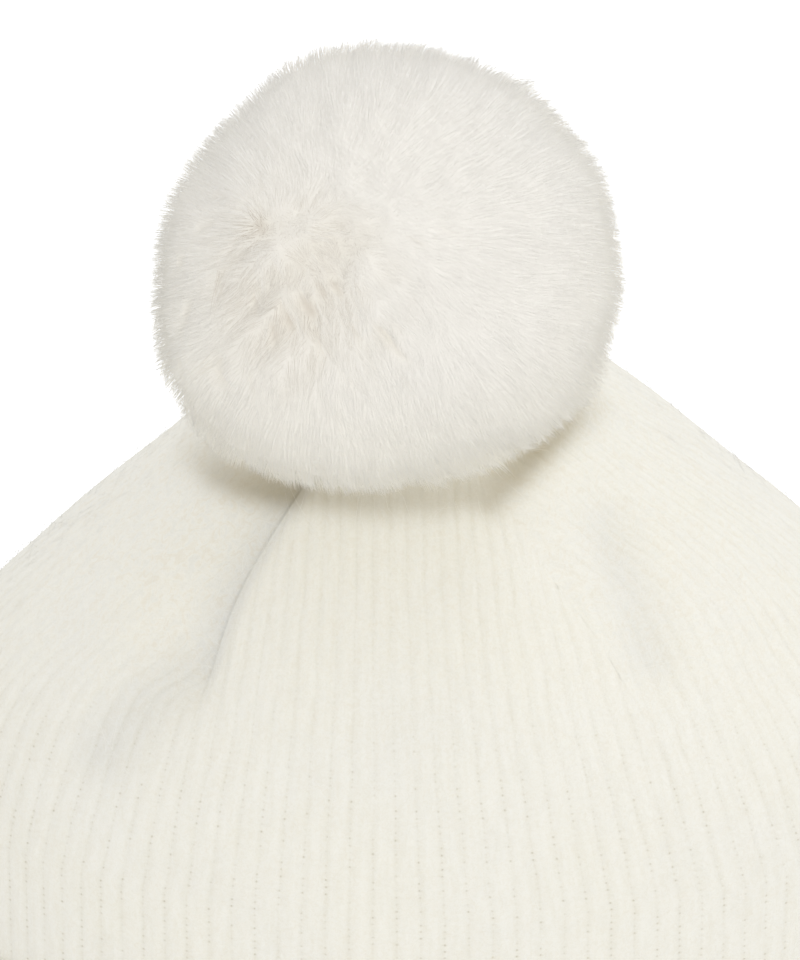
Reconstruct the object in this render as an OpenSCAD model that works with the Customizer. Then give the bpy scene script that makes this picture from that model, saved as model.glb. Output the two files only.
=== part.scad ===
// Pom pom beanie: a rib-knit hat whose crown closes in four gores, with a fur pom on a press stud.
// Millimetres, +Z up. The hat stands on the fold of its cuff, and the front of the hat faces -Y.

/* [Hat] */
// Half of the hat's width, to the middle of the knit
hat_half_width = 107; // [96:1:120]
// Half of the hat's depth, to the middle of the knit
hat_half_depth = 74; // [66:1:84]
// Thickness of the knit
knit_thickness = 3.6; // [2.4:0.2:4.4]

/* [Crown] */
// Height at which the crown starts to close in
crown_base = 72; // [66:1:90]
// Height of the middle of the gathered tip
tip_height = 180; // [168:1:216]
// How far the tip flops to the front
tip_forward = 19; // [12:1:24]
// How far the tip leans to the left
tip_left = 9.5; // [0:0.5:12]
// Forward tilt of the tip, in degrees
tip_tilt = 50; // [40:1:54]
// Radius of the gathered tip
tip_radius = 9.5; // [9:0.5:12]
// How far the slope of the shoulders would run out past the body
shoulder_flare = 20; // [10:0.5:24]
// How far the slope of the front and back would run out past the body
front_flare = 5; // [4:0.5:14]
// Softness of the bend between the body and the crown
bend_softness = 6; // [3:0.5:10]
// Bow of the shoulders where they leave the body
shoulder_bow = 1.24; // [1.15:0.01:1.4]
// Bow of the shoulders where they reach the tip
shoulder_close = 0.92; // [0.85:0.01:1.2]
// Bow of the front
front_bow = 1.2; // [1.15:0.05:1.5]
// Bow of the back
rear_bow = 1.3; // [1.2:0.05:1.6]
// How late the rows of the crown tilt towards the tip
tilt_delay = 3.2; // [2.4:0.1:4]
// How late the rows of the crown lean to the left
lean_delay = 6; // [3:0.1:8]

/* [Darts] */
// Place of the two right darts, in degrees from the right side
dart_right = 63; // [55:1:70]
// Place of the two left darts at their foot, in degrees from the right side
dart_left = 121; // [112:1:126]
// How far the left darts swing round towards the tip, in degrees
dart_swing = 14; // [0:1:20]
// Share of the crown's height at which the darts begin
dart_start = 0.4; // [0.25:0.05:0.55]
// Depth of the crease along a dart
dart_crease = 1.8; // [0.6:0.2:2.4]
// Width of the crease on either side of a dart
dart_reach = 7; // [4:0.5:10]
// Radius of the sewn ridge inside a dart
seam_radius = 1.2; // [0.8:0.1:1.6]
// Gap left in a sewn joint
seam_gap = 0.2; // [0.1:0.05:0.4]

/* [Cuff] */
// Height of the turned-up cuff
cuff_height = 45; // [40:1:70]
// Slack between the cuff and the body
cuff_slack = 0.3; // [0.2:0.1:1]
// Depth of the flat that the cuff stands on
rim_flat = 0.5; // [0.3:0.1:1]

/* [Press stud] */
// Radius of the stud's flange
flange_radius = 6; // [5.8:0.1:6.4]
// Thickness of the sewn flanges
flange_thickness = 0.8; // [0.6:0.1:1]
// Radius of the stud's neck
neck_radius = 1.8; // [1.6:0.1:2.2]
// How far the stud's head stands out past its neck
head_overhang = 0.6; // [0.4:0.1:0.8]
// Height of the stud above its flange
stud_rise = 3; // [2.8:0.1:3.6]
// Wall of the socket around the spring's groove
socket_wall = 1.1; // [0.8:0.1:1.6]
// Radius of the spring's wire
wire_radius = 0.3; // [0.25:0.05:0.35]
// Running clearance inside the snap
snap_clearance = 0.1; // [0.06:0.01:0.15]
// Radius of the sewing thread
thread_radius = 0.3; // [0.2:0.05:0.4]
// Radius of the felt patch inside the crown
patch_radius = 6; // [5.5:0.1:6.4]
// Thickness of the felt pieces
felt_thickness = 1.2; // [0.8:0.1:2]
// Room around the gathered tip for the pom to nod
tip_room = 0.35; // [0.3:0.05:0.5]

/* [Pom] */
// Radius of the pom over its fur
pom_radius = 48; // [40:0.5:56]
// Height of the pom above the tip
pom_height = 85; // [70:1:100]
// Height of the pom's widest place above the tip
pom_waist = 37; // [28:1:44]
// Height of the pom's underside above the tip
pom_lift = 5; // [4:0.5:7]
// Fullness of the underside
pom_under = 2.4; // [2:0.1:3.6]
// Length of the fur with its skin
fur_length = 20; // [12:1:24]
// Radius of the disc in the pom's mouth
disc_radius = 11; // [9.5:0.5:13]
// Slack around the pieces inside the pom
pom_slack = 0.2; // [0.1:0.05:0.4]

/* [Hidden] */

// Colours
ivory = [0.93, 0.91, 0.86];
thread_ivory = [0.88, 0.85, 0.78];
fur_white = [0.95, 0.93, 0.9];
felt_white = [0.9, 0.89, 0.86];
nickel = [0.72, 0.73, 0.75];

// Smoothness
round_steps = 96;
fine_steps = 32;
gore_rows = 16;
narrow_cols = 12;
wide_cols = 18;
cuff_steps = 72;
fold_steps = 4;
seam_rings = 14;
seam_sides = 6;
pom_steps = 16;
row_crowding = 1.4;
probe = 0.01;

// Darts: where the sewn ridges end below the tip, and the swing of the left darts
ridge_end = 0.9;
swing_foot = 0.25;
swing_head = 0.85;

// Knit layers
half_knit = knit_thickness / 2;
fold_radius = knit_thickness + cuff_slack / 2;
fold_middle = half_knit + cuff_slack / 2;
fold_top = fold_radius - rim_flat;
cuff_inner = half_knit + cuff_slack;
cuff_outer = cuff_inner + knit_thickness;

// Press stud, as heights above the middle of the tip and radii about its axis
spring_place = 0.35;
stud_air = 0.3;
stitch_inset = 0.9;
stitch_count = 4;
stud_seat = half_knit;
stud_top = stud_seat + flange_thickness + stud_rise;
neck_base = stud_seat + flange_thickness;
spring_height = neck_base + spring_place * stud_rise;
head_radius = neck_radius + head_overhang;
head_base = spring_height + wire_radius + snap_clearance;
spring_radius = neck_radius + snap_clearance + wire_radius;
groove_radius = head_radius + 2 * wire_radius + snap_clearance;
socket_radius = groove_radius + socket_wall;
socket_seat = neck_base + stud_air;
socket_roof = stud_top + snap_clearance;
socket_top = socket_roof + flange_thickness;
stitch_radius = flange_radius - stitch_inset;

// Pom pieces, in the same frame
disc_base = socket_top;
disc_top = disc_base + felt_thickness;
mouth_radius = disc_radius + pom_slack;
stuffing_radius = pom_radius - fur_length;
stuffing_top = pom_height - fur_length;
stuffing_middle = (disc_top + stuffing_top) / 2;

// Softened lesser of two lengths
function soft_least(a, b) = -bend_softness * ln(exp(-a / bend_softness) + exp(-b / bend_softness));

// Half span of the crown at fraction q: upright at its foot, then sloping in to the tip
function half_span(q, half, flare, share) =
    let (sloping = tip_radius + (half + flare - tip_radius) * share)
    soft_least(half, sloping) + (half - soft_least(half, half + flare)) * (1 - q);
function shoulder_share(q) = pow(1 - pow(q, shoulder_bow), 1 / shoulder_close);
function depth_share(q, bow) = pow(1 - pow(q, bow), 1 / bow);

// Point of the crown at fraction q, at an angle round the hat, and off the middle of the knit
function crown_point(q, angle, off) =
    let (tilt = tip_tilt * pow(q, tilt_delay))
    let (bow = sin(angle) < 0 ? front_bow : rear_bow)
    let (wide = half_span(q, hat_half_width + off, shoulder_flare, shoulder_share(q)) * cos(angle))
    let (deep = half_span(q, hat_half_depth + off, front_flare, depth_share(q, bow)) * sin(angle))
    [
        wide - tip_left * pow(q, lean_delay),
        deep * cos(tilt) - tip_forward * pow(q, 2) - off * q * sin(tilt),
        crown_base + (tip_height - crown_base) * q + deep * sin(tilt) + off * q * cos(tilt)
    ];

// Step round the crown for one degree at a fraction q, its length, and the way out of the knit there
function crown_step(q, angle) = crown_point(q, angle + 0.5, 0) - crown_point(q, angle - 0.5, 0);
function crown_pace(q, angle) = norm(crown_step(q, angle));
function crown_normal(q, angle) =
    let (rise = crown_point(q + probe, angle, 0) - crown_point(q - probe, angle, 0))
    let (out = cross(crown_step(q, angle), rise))
    out / norm(out);

// Rows crowd towards the tip, and columns towards the darts
function row_share(i) = 1 - pow(1 - i / gore_rows, row_crowding);
function col_share(j, cols) = (1 - cos(180 * j / cols)) / 2;
function ease(x) = let (c = min(1, max(0, x))) c * c * (3 - 2 * c);

// Angles of the darts round the crown at a fraction q: front right, back right, back left, front left
function left_dart(q) = dart_left + dart_swing * ease((q - swing_foot) / (swing_head - swing_foot));
function dart_angle(k, q) = [-dart_right, dart_right, left_dart(q), 360 - left_dart(q), 360 - dart_right][k];

// How deep the knit is drawn in at a distance from a dart
function crease(q, distance) =
    dart_crease * ease(2 * (q - dart_start) / (1 - dart_start)) * pow(max(0, 1 - distance / dart_reach), 2);

// Point of the gore that follows dart k, on the outer (1) or inner (-1) face of the knit
function gore_point(i, j, cols, k, face) =
    let (q = row_share(i))
    let (from = dart_angle(k, q))
    let (to = dart_angle(k + 1, q))
    let (first = from + seam_gap / 2 / crown_pace(q, from))
    let (last = to - seam_gap / 2 / crown_pace(q, to))
    let (angle = first + (last - first) * col_share(j, cols))
    let (distance = min(angle - first, last - angle) * crown_pace(q, angle))
    crown_point(q, angle, face * half_knit - crease(q, distance));

// Triangles of a closed shell between an outer and an inner grid of points
function two_triangles(a, b, c, d) = [[a, b, c], [a, c, d]];
function shell_faces(rows, cols) =
    let (w = cols + 1)
    let (n = (rows + 1) * w)
    let (corners = [for (i = [0:rows - 1]) for (j = [0:cols - 1]) i * w + j])
    concat(
        [for (k = corners) each two_triangles(k, k + w, k + w + 1, k + 1)],
        [for (k = corners) each two_triangles(n + k, n + k + 1, n + k + w + 1, n + k + w)],
        [for (k = [0:cols - 1]) each two_triangles(k, k + 1, n + k + 1, n + k)],
        [for (k = [rows * w:rows * w + cols - 1]) each two_triangles(k + 1, k, n + k, n + k + 1)],
        [for (k = [0:w:(rows - 1) * w]) each two_triangles(k + w, k, n + k, n + k + w)],
        [for (k = [cols:w:(rows - 1) * w + cols]) each two_triangles(k, k + w, n + k + w, n + k)]);

module gore(k, cols) {
    outer = [for (i = [0:gore_rows]) for (j = [0:cols]) gore_point(i, j, cols, k, 1)];
    inner = [for (i = [0:gore_rows]) for (j = [0:cols]) gore_point(i, j, cols, k, -1)];
    polyhedron(concat(outer, inner), shell_faces(gore_rows, cols), convexity = 6);
}

// Oval outline of the hat, off the middle of the knit
module hat_oval(off) {
    scale([hat_half_width + off, hat_half_depth + off])
        circle(r = 1, $fn = round_steps);
}

// Seats its children on the gathered tip, with +Z out of the crown
module on_tip() {
    translate([-tip_left, -tip_forward, tip_height])
        rotate([tip_tilt, 0, 0])
            children();
}

module thread_ring(ring_radius, wire) {
    rotate_extrude($fn = round_steps)
        translate([ring_radius, 0])
            circle(r = wire, $fn = fine_steps);
}

// Sewn ridge along dart k on the inside of the crown
function ridge_centre(q, k) =
    let (angle = dart_angle(k, q))
    crown_point(q, angle, -half_knit - dart_crease) - (seam_radius + seam_gap) * crown_normal(q, angle);
function ridge_ring(q, k) =
    let (along = ridge_centre(q + probe, k) - ridge_centre(q - probe, k))
    let (across = cross(along, [0, 0, 1]) / norm(cross(along, [0, 0, 1])))
    let (out = cross(across, along) / norm(along))
    [for (s = [0:seam_sides - 1])
        let (turn = 360 * s / seam_sides)
        ridge_centre(q, k) + seam_radius * (across * cos(turn) + out * sin(turn))];

module dart_seam(k) {
    shares = [for (i = [0:seam_rings]) dart_start + (ridge_end - dart_start) * i / seam_rings];
    points = [for (q = shares) each ridge_ring(q, k)];
    top = seam_rings * seam_sides;
    sides = [for (i = [0:seam_rings - 1]) for (s = [0:seam_sides - 1])
        let (a = i * seam_sides + s)
        let (b = i * seam_sides + (s + 1) % seam_sides)
        each two_triangles(a, b, b + seam_sides, a + seam_sides)];
    foot = [for (s = [1:seam_sides - 2]) [0, s + 1, s]];
    head = [for (s = [1:seam_sides - 2]) [top, top + s, top + s + 1]];
    polyhedron(points, concat(sides, foot, head), convexity = 6);
}

// Hat

module knit_body() {
    color(ivory)
        translate([0, 0, fold_top])
            linear_extrude(crown_base - fold_top)
                difference() {
                    hat_oval(half_knit);
                    hat_oval(-half_knit);
                }
}

module front_gore() {
    color(ivory)
        gore(3, narrow_cols);
}

module right_gore() {
    color(ivory)
        gore(0, wide_cols);
}

module back_gore() {
    color(ivory)
        gore(1, narrow_cols);
}

module left_gore() {
    color(ivory)
        gore(2, wide_cols);
}

module dart_seams() {
    color(thread_ivory)
        for (k = [0:3])
            dart_seam(k);
}

module back_seam() {
    off = -half_knit - seam_radius - seam_gap / 2;
    across = (hat_half_width + off) * cos(dart_right);
    back = (hat_half_depth + off) * sin(dart_right);
    color(thread_ivory)
        translate([across, back, fold_top])
            cylinder(h = crown_base - fold_top, r = seam_radius, $fn = fine_steps);
}

// Section of the turned-up cuff, as steps out from the middle of the knit and heights
function fold_point(turn) = [fold_middle + fold_radius * cos(turn), fold_top + fold_radius * sin(turn)];
function cuff_section() =
    let (round = asin(fold_top / fold_radius))
    let (edge = cuff_height - half_knit)
    let (crest = cuff_inner + half_knit)
    concat(
        [for (s = [0:fold_steps]) fold_point(180 + round * s / fold_steps)],
        [for (s = [0:fold_steps]) fold_point(360 - round + round * s / fold_steps)],
        [for (s = [0:fold_steps])
            let (turn = 180 * s / fold_steps)
            [crest + half_knit * cos(turn), edge + half_knit * sin(turn)]],
        [[cuff_inner, fold_top]]);

module turned_cuff() {
    section = cuff_section();
    n = len(section);
    points = [for (i = [0:cuff_steps - 1]) for (p = section)
        let (turn = 360 * i / cuff_steps)
        [(hat_half_width + p[0]) * cos(turn), (hat_half_depth + p[0]) * sin(turn), p[1]]];
    faces = [for (i = [0:cuff_steps - 1]) for (s = [0:n - 1])
        let (a = i * n + s)
        let (b = i * n + (s + 1) % n)
        let (c = (i + 1) % cuff_steps * n + (s + 1) % n)
        let (d = (i + 1) % cuff_steps * n + s)
        each two_triangles(a, b, c, d)];
    color(ivory)
        polyhedron(points, faces, convexity = 6);
}

// Gathered tip and press stud

module gathered_tip() {
    color(ivory)
        on_tip()
            intersection() {
                sphere(r = tip_radius - tip_room, $fn = round_steps);
                cylinder(h = knit_thickness, r = tip_radius, center = true, $fn = round_steps);
            }
}

module tip_thread() {
    color(thread_ivory)
        on_tip()
            translate([0, 0, -half_knit - 2 * thread_radius])
                thread_ring(patch_radius + 3 * thread_radius, 2 * thread_radius);
}

module inner_patch() {
    color(felt_white)
        on_tip()
            translate([0, 0, -half_knit - felt_thickness])
                cylinder(h = felt_thickness, r = patch_radius, $fn = round_steps);
}

// Holes through a flange whose lower face is at a height
module sewing_holes(height) {
    for (turn = [0:stitch_count - 1])
        rotate(360 * turn / stitch_count)
            translate([stitch_radius, 0, height - thread_radius])
                cylinder(h = flange_thickness + 2 * thread_radius, r = 2 * thread_radius, $fn = fine_steps);
}

// Half rings of thread that hold a flange down at its edge
module flange_stitches(height) {
    for (turn = [0:stitch_count - 1])
        rotate(360 * turn / stitch_count)
            translate([flange_radius, 0, height])
                rotate([90, 0, 0])
                    rotate_extrude(angle = 180, $fn = fine_steps)
                        translate([stitch_inset, 0])
                            circle(r = thread_radius, $fn = fine_steps);
}

module snap_stud() {
    color(nickel)
        on_tip()
            difference() {
                rotate_extrude($fn = round_steps)
                    polygon([
                        [0, stud_seat],
                        [flange_radius, stud_seat],
                        [flange_radius, neck_base - flange_thickness / 3],
                        [flange_radius - flange_thickness / 3, neck_base],
                        [neck_radius + flange_thickness / 3, neck_base],
                        [neck_radius, neck_base + flange_thickness / 3],
                        [neck_radius, head_base],
                        [head_radius, head_base + head_overhang],
                        [head_radius, stud_top - head_overhang],
                        [neck_radius, stud_top],
                        [0, stud_top]]);
                sewing_holes(stud_seat);
            }
}

module stud_stitches() {
    color(thread_ivory)
        on_tip()
            flange_stitches(stud_seat + thread_radius);
}

module socket_spring() {
    color(nickel)
        on_tip()
            translate([0, 0, spring_height])
                thread_ring(spring_radius, wire_radius);
}

module snap_socket() {
    groove_half = wire_radius + snap_clearance;
    color(nickel)
        on_tip()
            difference() {
                rotate_extrude($fn = round_steps)
                    polygon([
                        [head_radius + snap_clearance, socket_seat],
                        [socket_radius, socket_seat],
                        [socket_radius, socket_top - flange_thickness],
                        [flange_radius, socket_top - flange_thickness],
                        [flange_radius, socket_top],
                        [0, socket_top],
                        [0, socket_roof],
                        [head_radius + snap_clearance, socket_roof],
                        [head_radius + snap_clearance, spring_height + groove_half],
                        [groove_radius, spring_height + groove_half],
                        [groove_radius, spring_height - groove_half],
                        [head_radius + snap_clearance, spring_height - groove_half]]);
                sewing_holes(socket_top - flange_thickness);
            }
}

module socket_stitches() {
    color(thread_ivory)
        on_tip()
            translate([0, 0, socket_top])
                mirror([0, 0, 1])
                    flange_stitches(thread_radius);
}

// Pom

module base_disc() {
    color(felt_white)
        on_tip()
            translate([0, 0, disc_base])
                cylinder(h = felt_thickness, r = disc_radius, $fn = round_steps);
}

module gather_thread() {
    color(thread_ivory)
        on_tip()
            translate([0, 0, disc_base - 2 * thread_radius])
                thread_ring(disc_radius - 3 * thread_radius, 2 * thread_radius);
}

// Half outline of a soft ball: a rounded underside up to its waist, then a dome
function ball_outline(radius, low, waist, high, under) =
    concat(
        [for (s = [0:pom_steps])
            let (fall = 1 - s / pom_steps)
            [radius * pow(1 - pow(fall, under), 1 / under), waist - (waist - low) * fall]],
        [for (s = [1:pom_steps])
            let (turn = 90 * s / pom_steps)
            [radius * cos(turn), waist + (high - waist) * sin(turn)]]);

module stuffing() {
    color(felt_white)
        on_tip()
            rotate_extrude($fn = round_steps)
                polygon(ball_outline(stuffing_radius, disc_top, stuffing_middle, stuffing_top, 2));
}

module fur_cover() {
    hollow_radius = stuffing_radius + pom_slack;
    hollow_top = stuffing_top + pom_slack;
    mouth_depth = disc_top - pom_lift;
    color(fur_white)
        on_tip()
            difference() {
                rotate_extrude($fn = round_steps)
                    polygon(ball_outline(pom_radius, pom_lift, pom_waist, pom_height, pom_under));
                rotate_extrude($fn = round_steps)
                    polygon(ball_outline(hollow_radius, disc_top, stuffing_middle, hollow_top, 2));
                translate([0, 0, disc_top - 2 * mouth_depth])
                    cylinder(h = 2 * mouth_depth, r = mouth_radius, $fn = round_steps);
            }
}

knit_body();
front_gore();
right_gore();
back_gore();
left_gore();
dart_seams();
back_seam();
turned_cuff();
gathered_tip();
tip_thread();
inner_patch();
snap_stud();
stud_stitches();
socket_spring();
snap_socket();
socket_stitches();
base_disc();
gather_thread();
stuffing();
fur_cover();
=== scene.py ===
import math
import bpy
import bmesh
import numpy as np
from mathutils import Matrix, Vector, kdtree


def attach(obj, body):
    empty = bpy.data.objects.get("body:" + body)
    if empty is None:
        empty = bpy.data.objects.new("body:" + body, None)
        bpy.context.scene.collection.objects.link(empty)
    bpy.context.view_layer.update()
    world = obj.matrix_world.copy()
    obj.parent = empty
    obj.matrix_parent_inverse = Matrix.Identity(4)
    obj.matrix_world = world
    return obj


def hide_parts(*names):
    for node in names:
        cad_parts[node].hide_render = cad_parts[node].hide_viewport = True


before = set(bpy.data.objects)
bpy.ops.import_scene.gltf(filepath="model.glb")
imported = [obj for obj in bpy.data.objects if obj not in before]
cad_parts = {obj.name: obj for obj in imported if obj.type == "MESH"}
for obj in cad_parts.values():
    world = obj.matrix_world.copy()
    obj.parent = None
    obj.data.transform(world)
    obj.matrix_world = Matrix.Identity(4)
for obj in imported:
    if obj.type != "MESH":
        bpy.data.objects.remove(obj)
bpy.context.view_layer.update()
dice = np.random.default_rng(20)
photoTilt = math.radians(24)     # how far the photo looks down on the hat

# The shape of the hat as the CAD model has it: metres, the tilt in radians and the darts in degrees
hat = {
    "halfWidth": 0.107,
    "halfDepth": 0.074,
    "knit": 0.0036,
    "crownBase": 0.072,
    "tip": (-0.0095, -0.019, 0.180),
    "tipTilt": math.radians(50),
    "tipRadius": 0.0095,
    "shoulderFlare": 0.020,
    "frontFlare": 0.005,
    "bendSoftness": 0.006,
    "shoulderBow": 1.24,
    "shoulderClose": 0.92,
    "frontBow": 1.2,
    "rearBow": 1.3,
    "tiltDelay": 3.2,
    "leanDelay": 6.0,
    "dartRight": 63.0,
    "dartLeft": 121.0,
    "dartSwing": 14.0,
    "swingFoot": 0.25,
    "swingHead": 0.85,
}
halfKnit = hat["knit"] / 2
tip = Vector(hat["tip"])
tipPoint = np.array(tip)
tiltCos, tiltSin = math.cos(hat["tipTilt"]), math.sin(hat["tipTilt"])
# rows: across, up the slope, out of the crown
pomAxes = np.array(((1, 0, 0), (0, tiltCos, tiltSin), (0, -tiltSin, tiltCos)))


# Small helpers

def ease(x):
    c = np.clip(x, 0, 1)
    return c * c * (3 - 2 * c)


def bell(x):
    return np.exp(-x ** 2)


def unit(v):
    return v / np.maximum(np.linalg.norm(v, axis=-1, keepdims=True), 1e-12)


def tangent(v, normal):
    return v - (v * normal).sum(-1, keepdims=True) * normal


def swung(flow, side, angle):
    return flow * np.cos(angle)[:, None] + side * np.sin(angle)[:, None]


def fromPom(local):
    return np.asarray(local) @ pomAxes + tipPoint


def runLength(points):
    # distance along each line of points from its start
    step = np.linalg.norm(np.diff(points, axis=-2), axis=-1)
    return np.concatenate((np.zeros((*step.shape[:-1], 1)), np.cumsum(step, axis=-1)), axis=-1)


def waveNoise(points, scale, seed, layers=6):
    # smooth noise from -1 to 1: a few crossing waves, the same on every run
    roll = np.random.default_rng(seed)
    total = np.zeros(len(points))
    for i in range(layers):
        way = unit(roll.normal(size=3))
        total += np.sin(points @ way * (2 * math.pi / scale) * roll.uniform(0.6, 1.6) + roll.uniform(0, 6.28))
    return total / layers * 1.6


# Meshes

def toMesh(bm, mesh):
    bm.to_mesh(mesh)
    bm.free()
    return mesh


def coordinates(mesh):
    co = np.empty(len(mesh.vertices) * 3)
    mesh.vertices.foreach_get("co", co)
    return co.reshape(-1, 3)


def gridMesh(name, points):
    # a sheet through a grid of points, and the row and column of each of its vertices
    rows, cols = points.shape[0] - 1, points.shape[1] - 1
    bm = bmesh.new()
    bmesh.ops.create_grid(bm, x_segments=cols, y_segments=rows, size=0.5)
    mesh = toMesh(bm, bpy.data.meshes.new(name))
    spot = tuple(np.rint((coordinates(mesh)[:, 1::-1] + 0.5) * (rows, cols)).astype(int).T)
    mesh.vertices.foreach_set("co", points[spot].ravel())
    return mesh, spot


def closeUp(mesh, tolerance=1e-7, fill=True):
    # joins the seams and poles of a swept grid, fills its open ends if asked and turns its faces outward
    bm = bmesh.new()
    bm.from_mesh(mesh)
    bmesh.ops.remove_doubles(bm, verts=bm.verts, dist=tolerance)
    if fill:
        bmesh.ops.holes_fill(bm, edges=[e for e in bm.edges if e.is_boundary])
    bmesh.ops.recalc_face_normals(bm, faces=bm.faces)
    toMesh(bm, mesh).update()
    return mesh


def setUv(mesh, values):
    corner = np.empty(len(mesh.loops), np.int32)
    mesh.loops.foreach_get("vertex_index", corner)
    layer = mesh.uv_layers.new(name="stitches")
    layer.data.foreach_set("uv", values[corner].astype(np.float32).ravel())


def setValues(mesh, label, values, kind="FLOAT", field="value"):
    layer = mesh.attributes.new(label, kind, "POINT")
    layer.data.foreach_set(field, values.astype(np.float32).ravel())


def linkObject(name, data):
    obj = bpy.data.objects.new(name, data)
    bpy.context.scene.collection.objects.link(obj)
    return obj


def addObject(name, mesh, material, body, replaces=(), normals=None):
    obj = linkObject(name, mesh)
    mesh.materials.append(material)
    mesh.polygons.foreach_set("use_smooth", np.ones(len(mesh.polygons), bool))
    if normals is not None:
        mesh.normals_split_custom_set_from_vertices(normals.astype(np.float32))
    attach(obj, body)
    if replaces:
        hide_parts(*replaces)
    return obj


# Materials

def feed(tree, node, inputs):
    # an input takes a number, a colour or the output of another node
    for key, value in inputs.items():
        socket = node.inputs[key]
        if isinstance(value, bpy.types.NodeSocket):
            tree.links.new(value, socket)
        else:
            socket.default_value = (*value, 1) if socket.type == "RGBA" else value


def addNode(tree, kind, inputs, **settings):
    node = tree.nodes.new("ShaderNode" + kind)
    for key, value in settings.items():
        setattr(node, key, value)
    feed(tree, node, inputs)
    return node


def calc(tree, operation, *values):
    return addNode(tree, "Math", dict(enumerate(values)), operation=operation).outputs[0]


def ramp(tree, factor, *stops):
    node = addNode(tree, "ValToRGB", {"Fac": factor})
    elements = node.color_ramp.elements
    while len(elements) < len(stops):
        elements.new(0.5)
    for element, (place, colour) in zip(elements, stops):
        element.position = place
        element.color = (*colour, 1)
    return node.outputs["Color"]


def mix(tree, factor, first, second, blend="MULTIPLY"):
    inputs = {0: factor, 6: first, 7: second}
    return addNode(tree, "Mix", inputs, data_type="RGBA", blend_type=blend).outputs[2]


def mapRange(tree, value, start, end, low, high, **settings):
    inputs = {"Value": value, "From Min": start, "From Max": end, "To Min": low, "To Max": high}
    return addNode(tree, "MapRange", inputs, **settings).outputs["Result"]


def objectPlace(tree):
    return addNode(tree, "TexCoord", {}).outputs["Object"]


def noise(tree, vector, scale, detail, distortion=0.0):
    inputs = {"Vector": vector, "Scale": scale, "Detail": detail, "Distortion": distortion}
    return addNode(tree, "TexNoise", inputs).outputs["Fac"]


def pair(tree, x, y):
    return addNode(tree, "CombineXYZ", {0: x, 1: y}).outputs[0]


def attribute(tree, label):
    return addNode(tree, "Attribute", {}, attribute_name=label).outputs["Fac"]


def bump(tree, height, strength, distance=0.0004):
    inputs = {"Height": height, "Strength": strength, "Distance": distance}
    return addNode(tree, "Bump", inputs).outputs["Normal"]


def newMaterial(name):
    mat = bpy.data.materials.new(name)
    mat.use_nodes = True
    return mat, mat.node_tree


def finish(mat, roughness, specular, **inputs):
    # the rest of the inputs by their names without spaces
    tree = mat.node_tree
    shader = tree.nodes["Principled BSDF"]
    names = {s.name.replace(" ", ""): s.name for s in shader.inputs}
    feed(tree, shader, {"Roughness": roughness, "Specular IOR Level": specular})
    feed(tree, shader, {names[key]: value for key, value in inputs.items()})
    return mat


def makeFibreGroup():
    # fine fibres and slow colour drift, shared by yarn, felt, thread and fur
    group = bpy.data.node_groups.new("softFibres", "ShaderNodeTree")
    for label, way in (("Scale", "INPUT"), ("Fibres", "OUTPUT"), ("Drift", "OUTPUT")):
        group.interface.new_socket(label, in_out=way, socket_type="NodeSocketFloat")
    inlet, outlet = group.nodes.new("NodeGroupInput"), group.nodes.new("NodeGroupOutput")
    place = objectPlace(group)
    feed(group, outlet, {
        "Fibres": noise(group, place, inlet.outputs["Scale"], 4, 1.5),
        "Drift": noise(group, place, 38, 2)})
    return group


fibreGroup = makeFibreGroup()


def fibres(tree, scale):
    return addNode(tree, "Group", {"Scale": scale}, node_tree=fibreGroup).outputs


yarn = {
    "ridge": (0.905, 0.888, 0.808),
    # painted shade in the valleys between ribs
    "valley": (0.868, 0.847, 0.758),
    # painted shade inside the holes
    "hole": (0.58, 0.53, 0.41),
    "cool": (0.892, 0.881, 0.824),
    "streak": (0.972, 0.968, 0.955),
    "speck": (0.968, 0.96, 0.94),
    # painted shade in the soft folds and beside the left dart
    "fold": (0.80, 0.81, 0.845),
    # painted shadow where the edge of the pom rests on the crown
    "contactShadow": (0.40, 0.345, 0.235),
    "warmTuft": (0.965, 0.945, 0.915),
    "coolTuft": (0.96, 0.965, 0.975),
    "tuftScale": 420,
    "fibreScale": 1300,
    "drawn": (3.1, 0.14),     # streaks across and along the ribs
    "hidden": 0.75,           # how far brushing hides the ribs
    "bump": 0.3,
    "bumpDepth": 0.0003,
    "holesFrom": 34.0,        # courses above the foot of the crown, where the holes have closed up
    "holesTo": 10.0,
    "holesLeft": 0.12,
}
white = (1, 1, 1)
knitLooks = ("brushed", "foldShade", "contactShadow")


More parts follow.
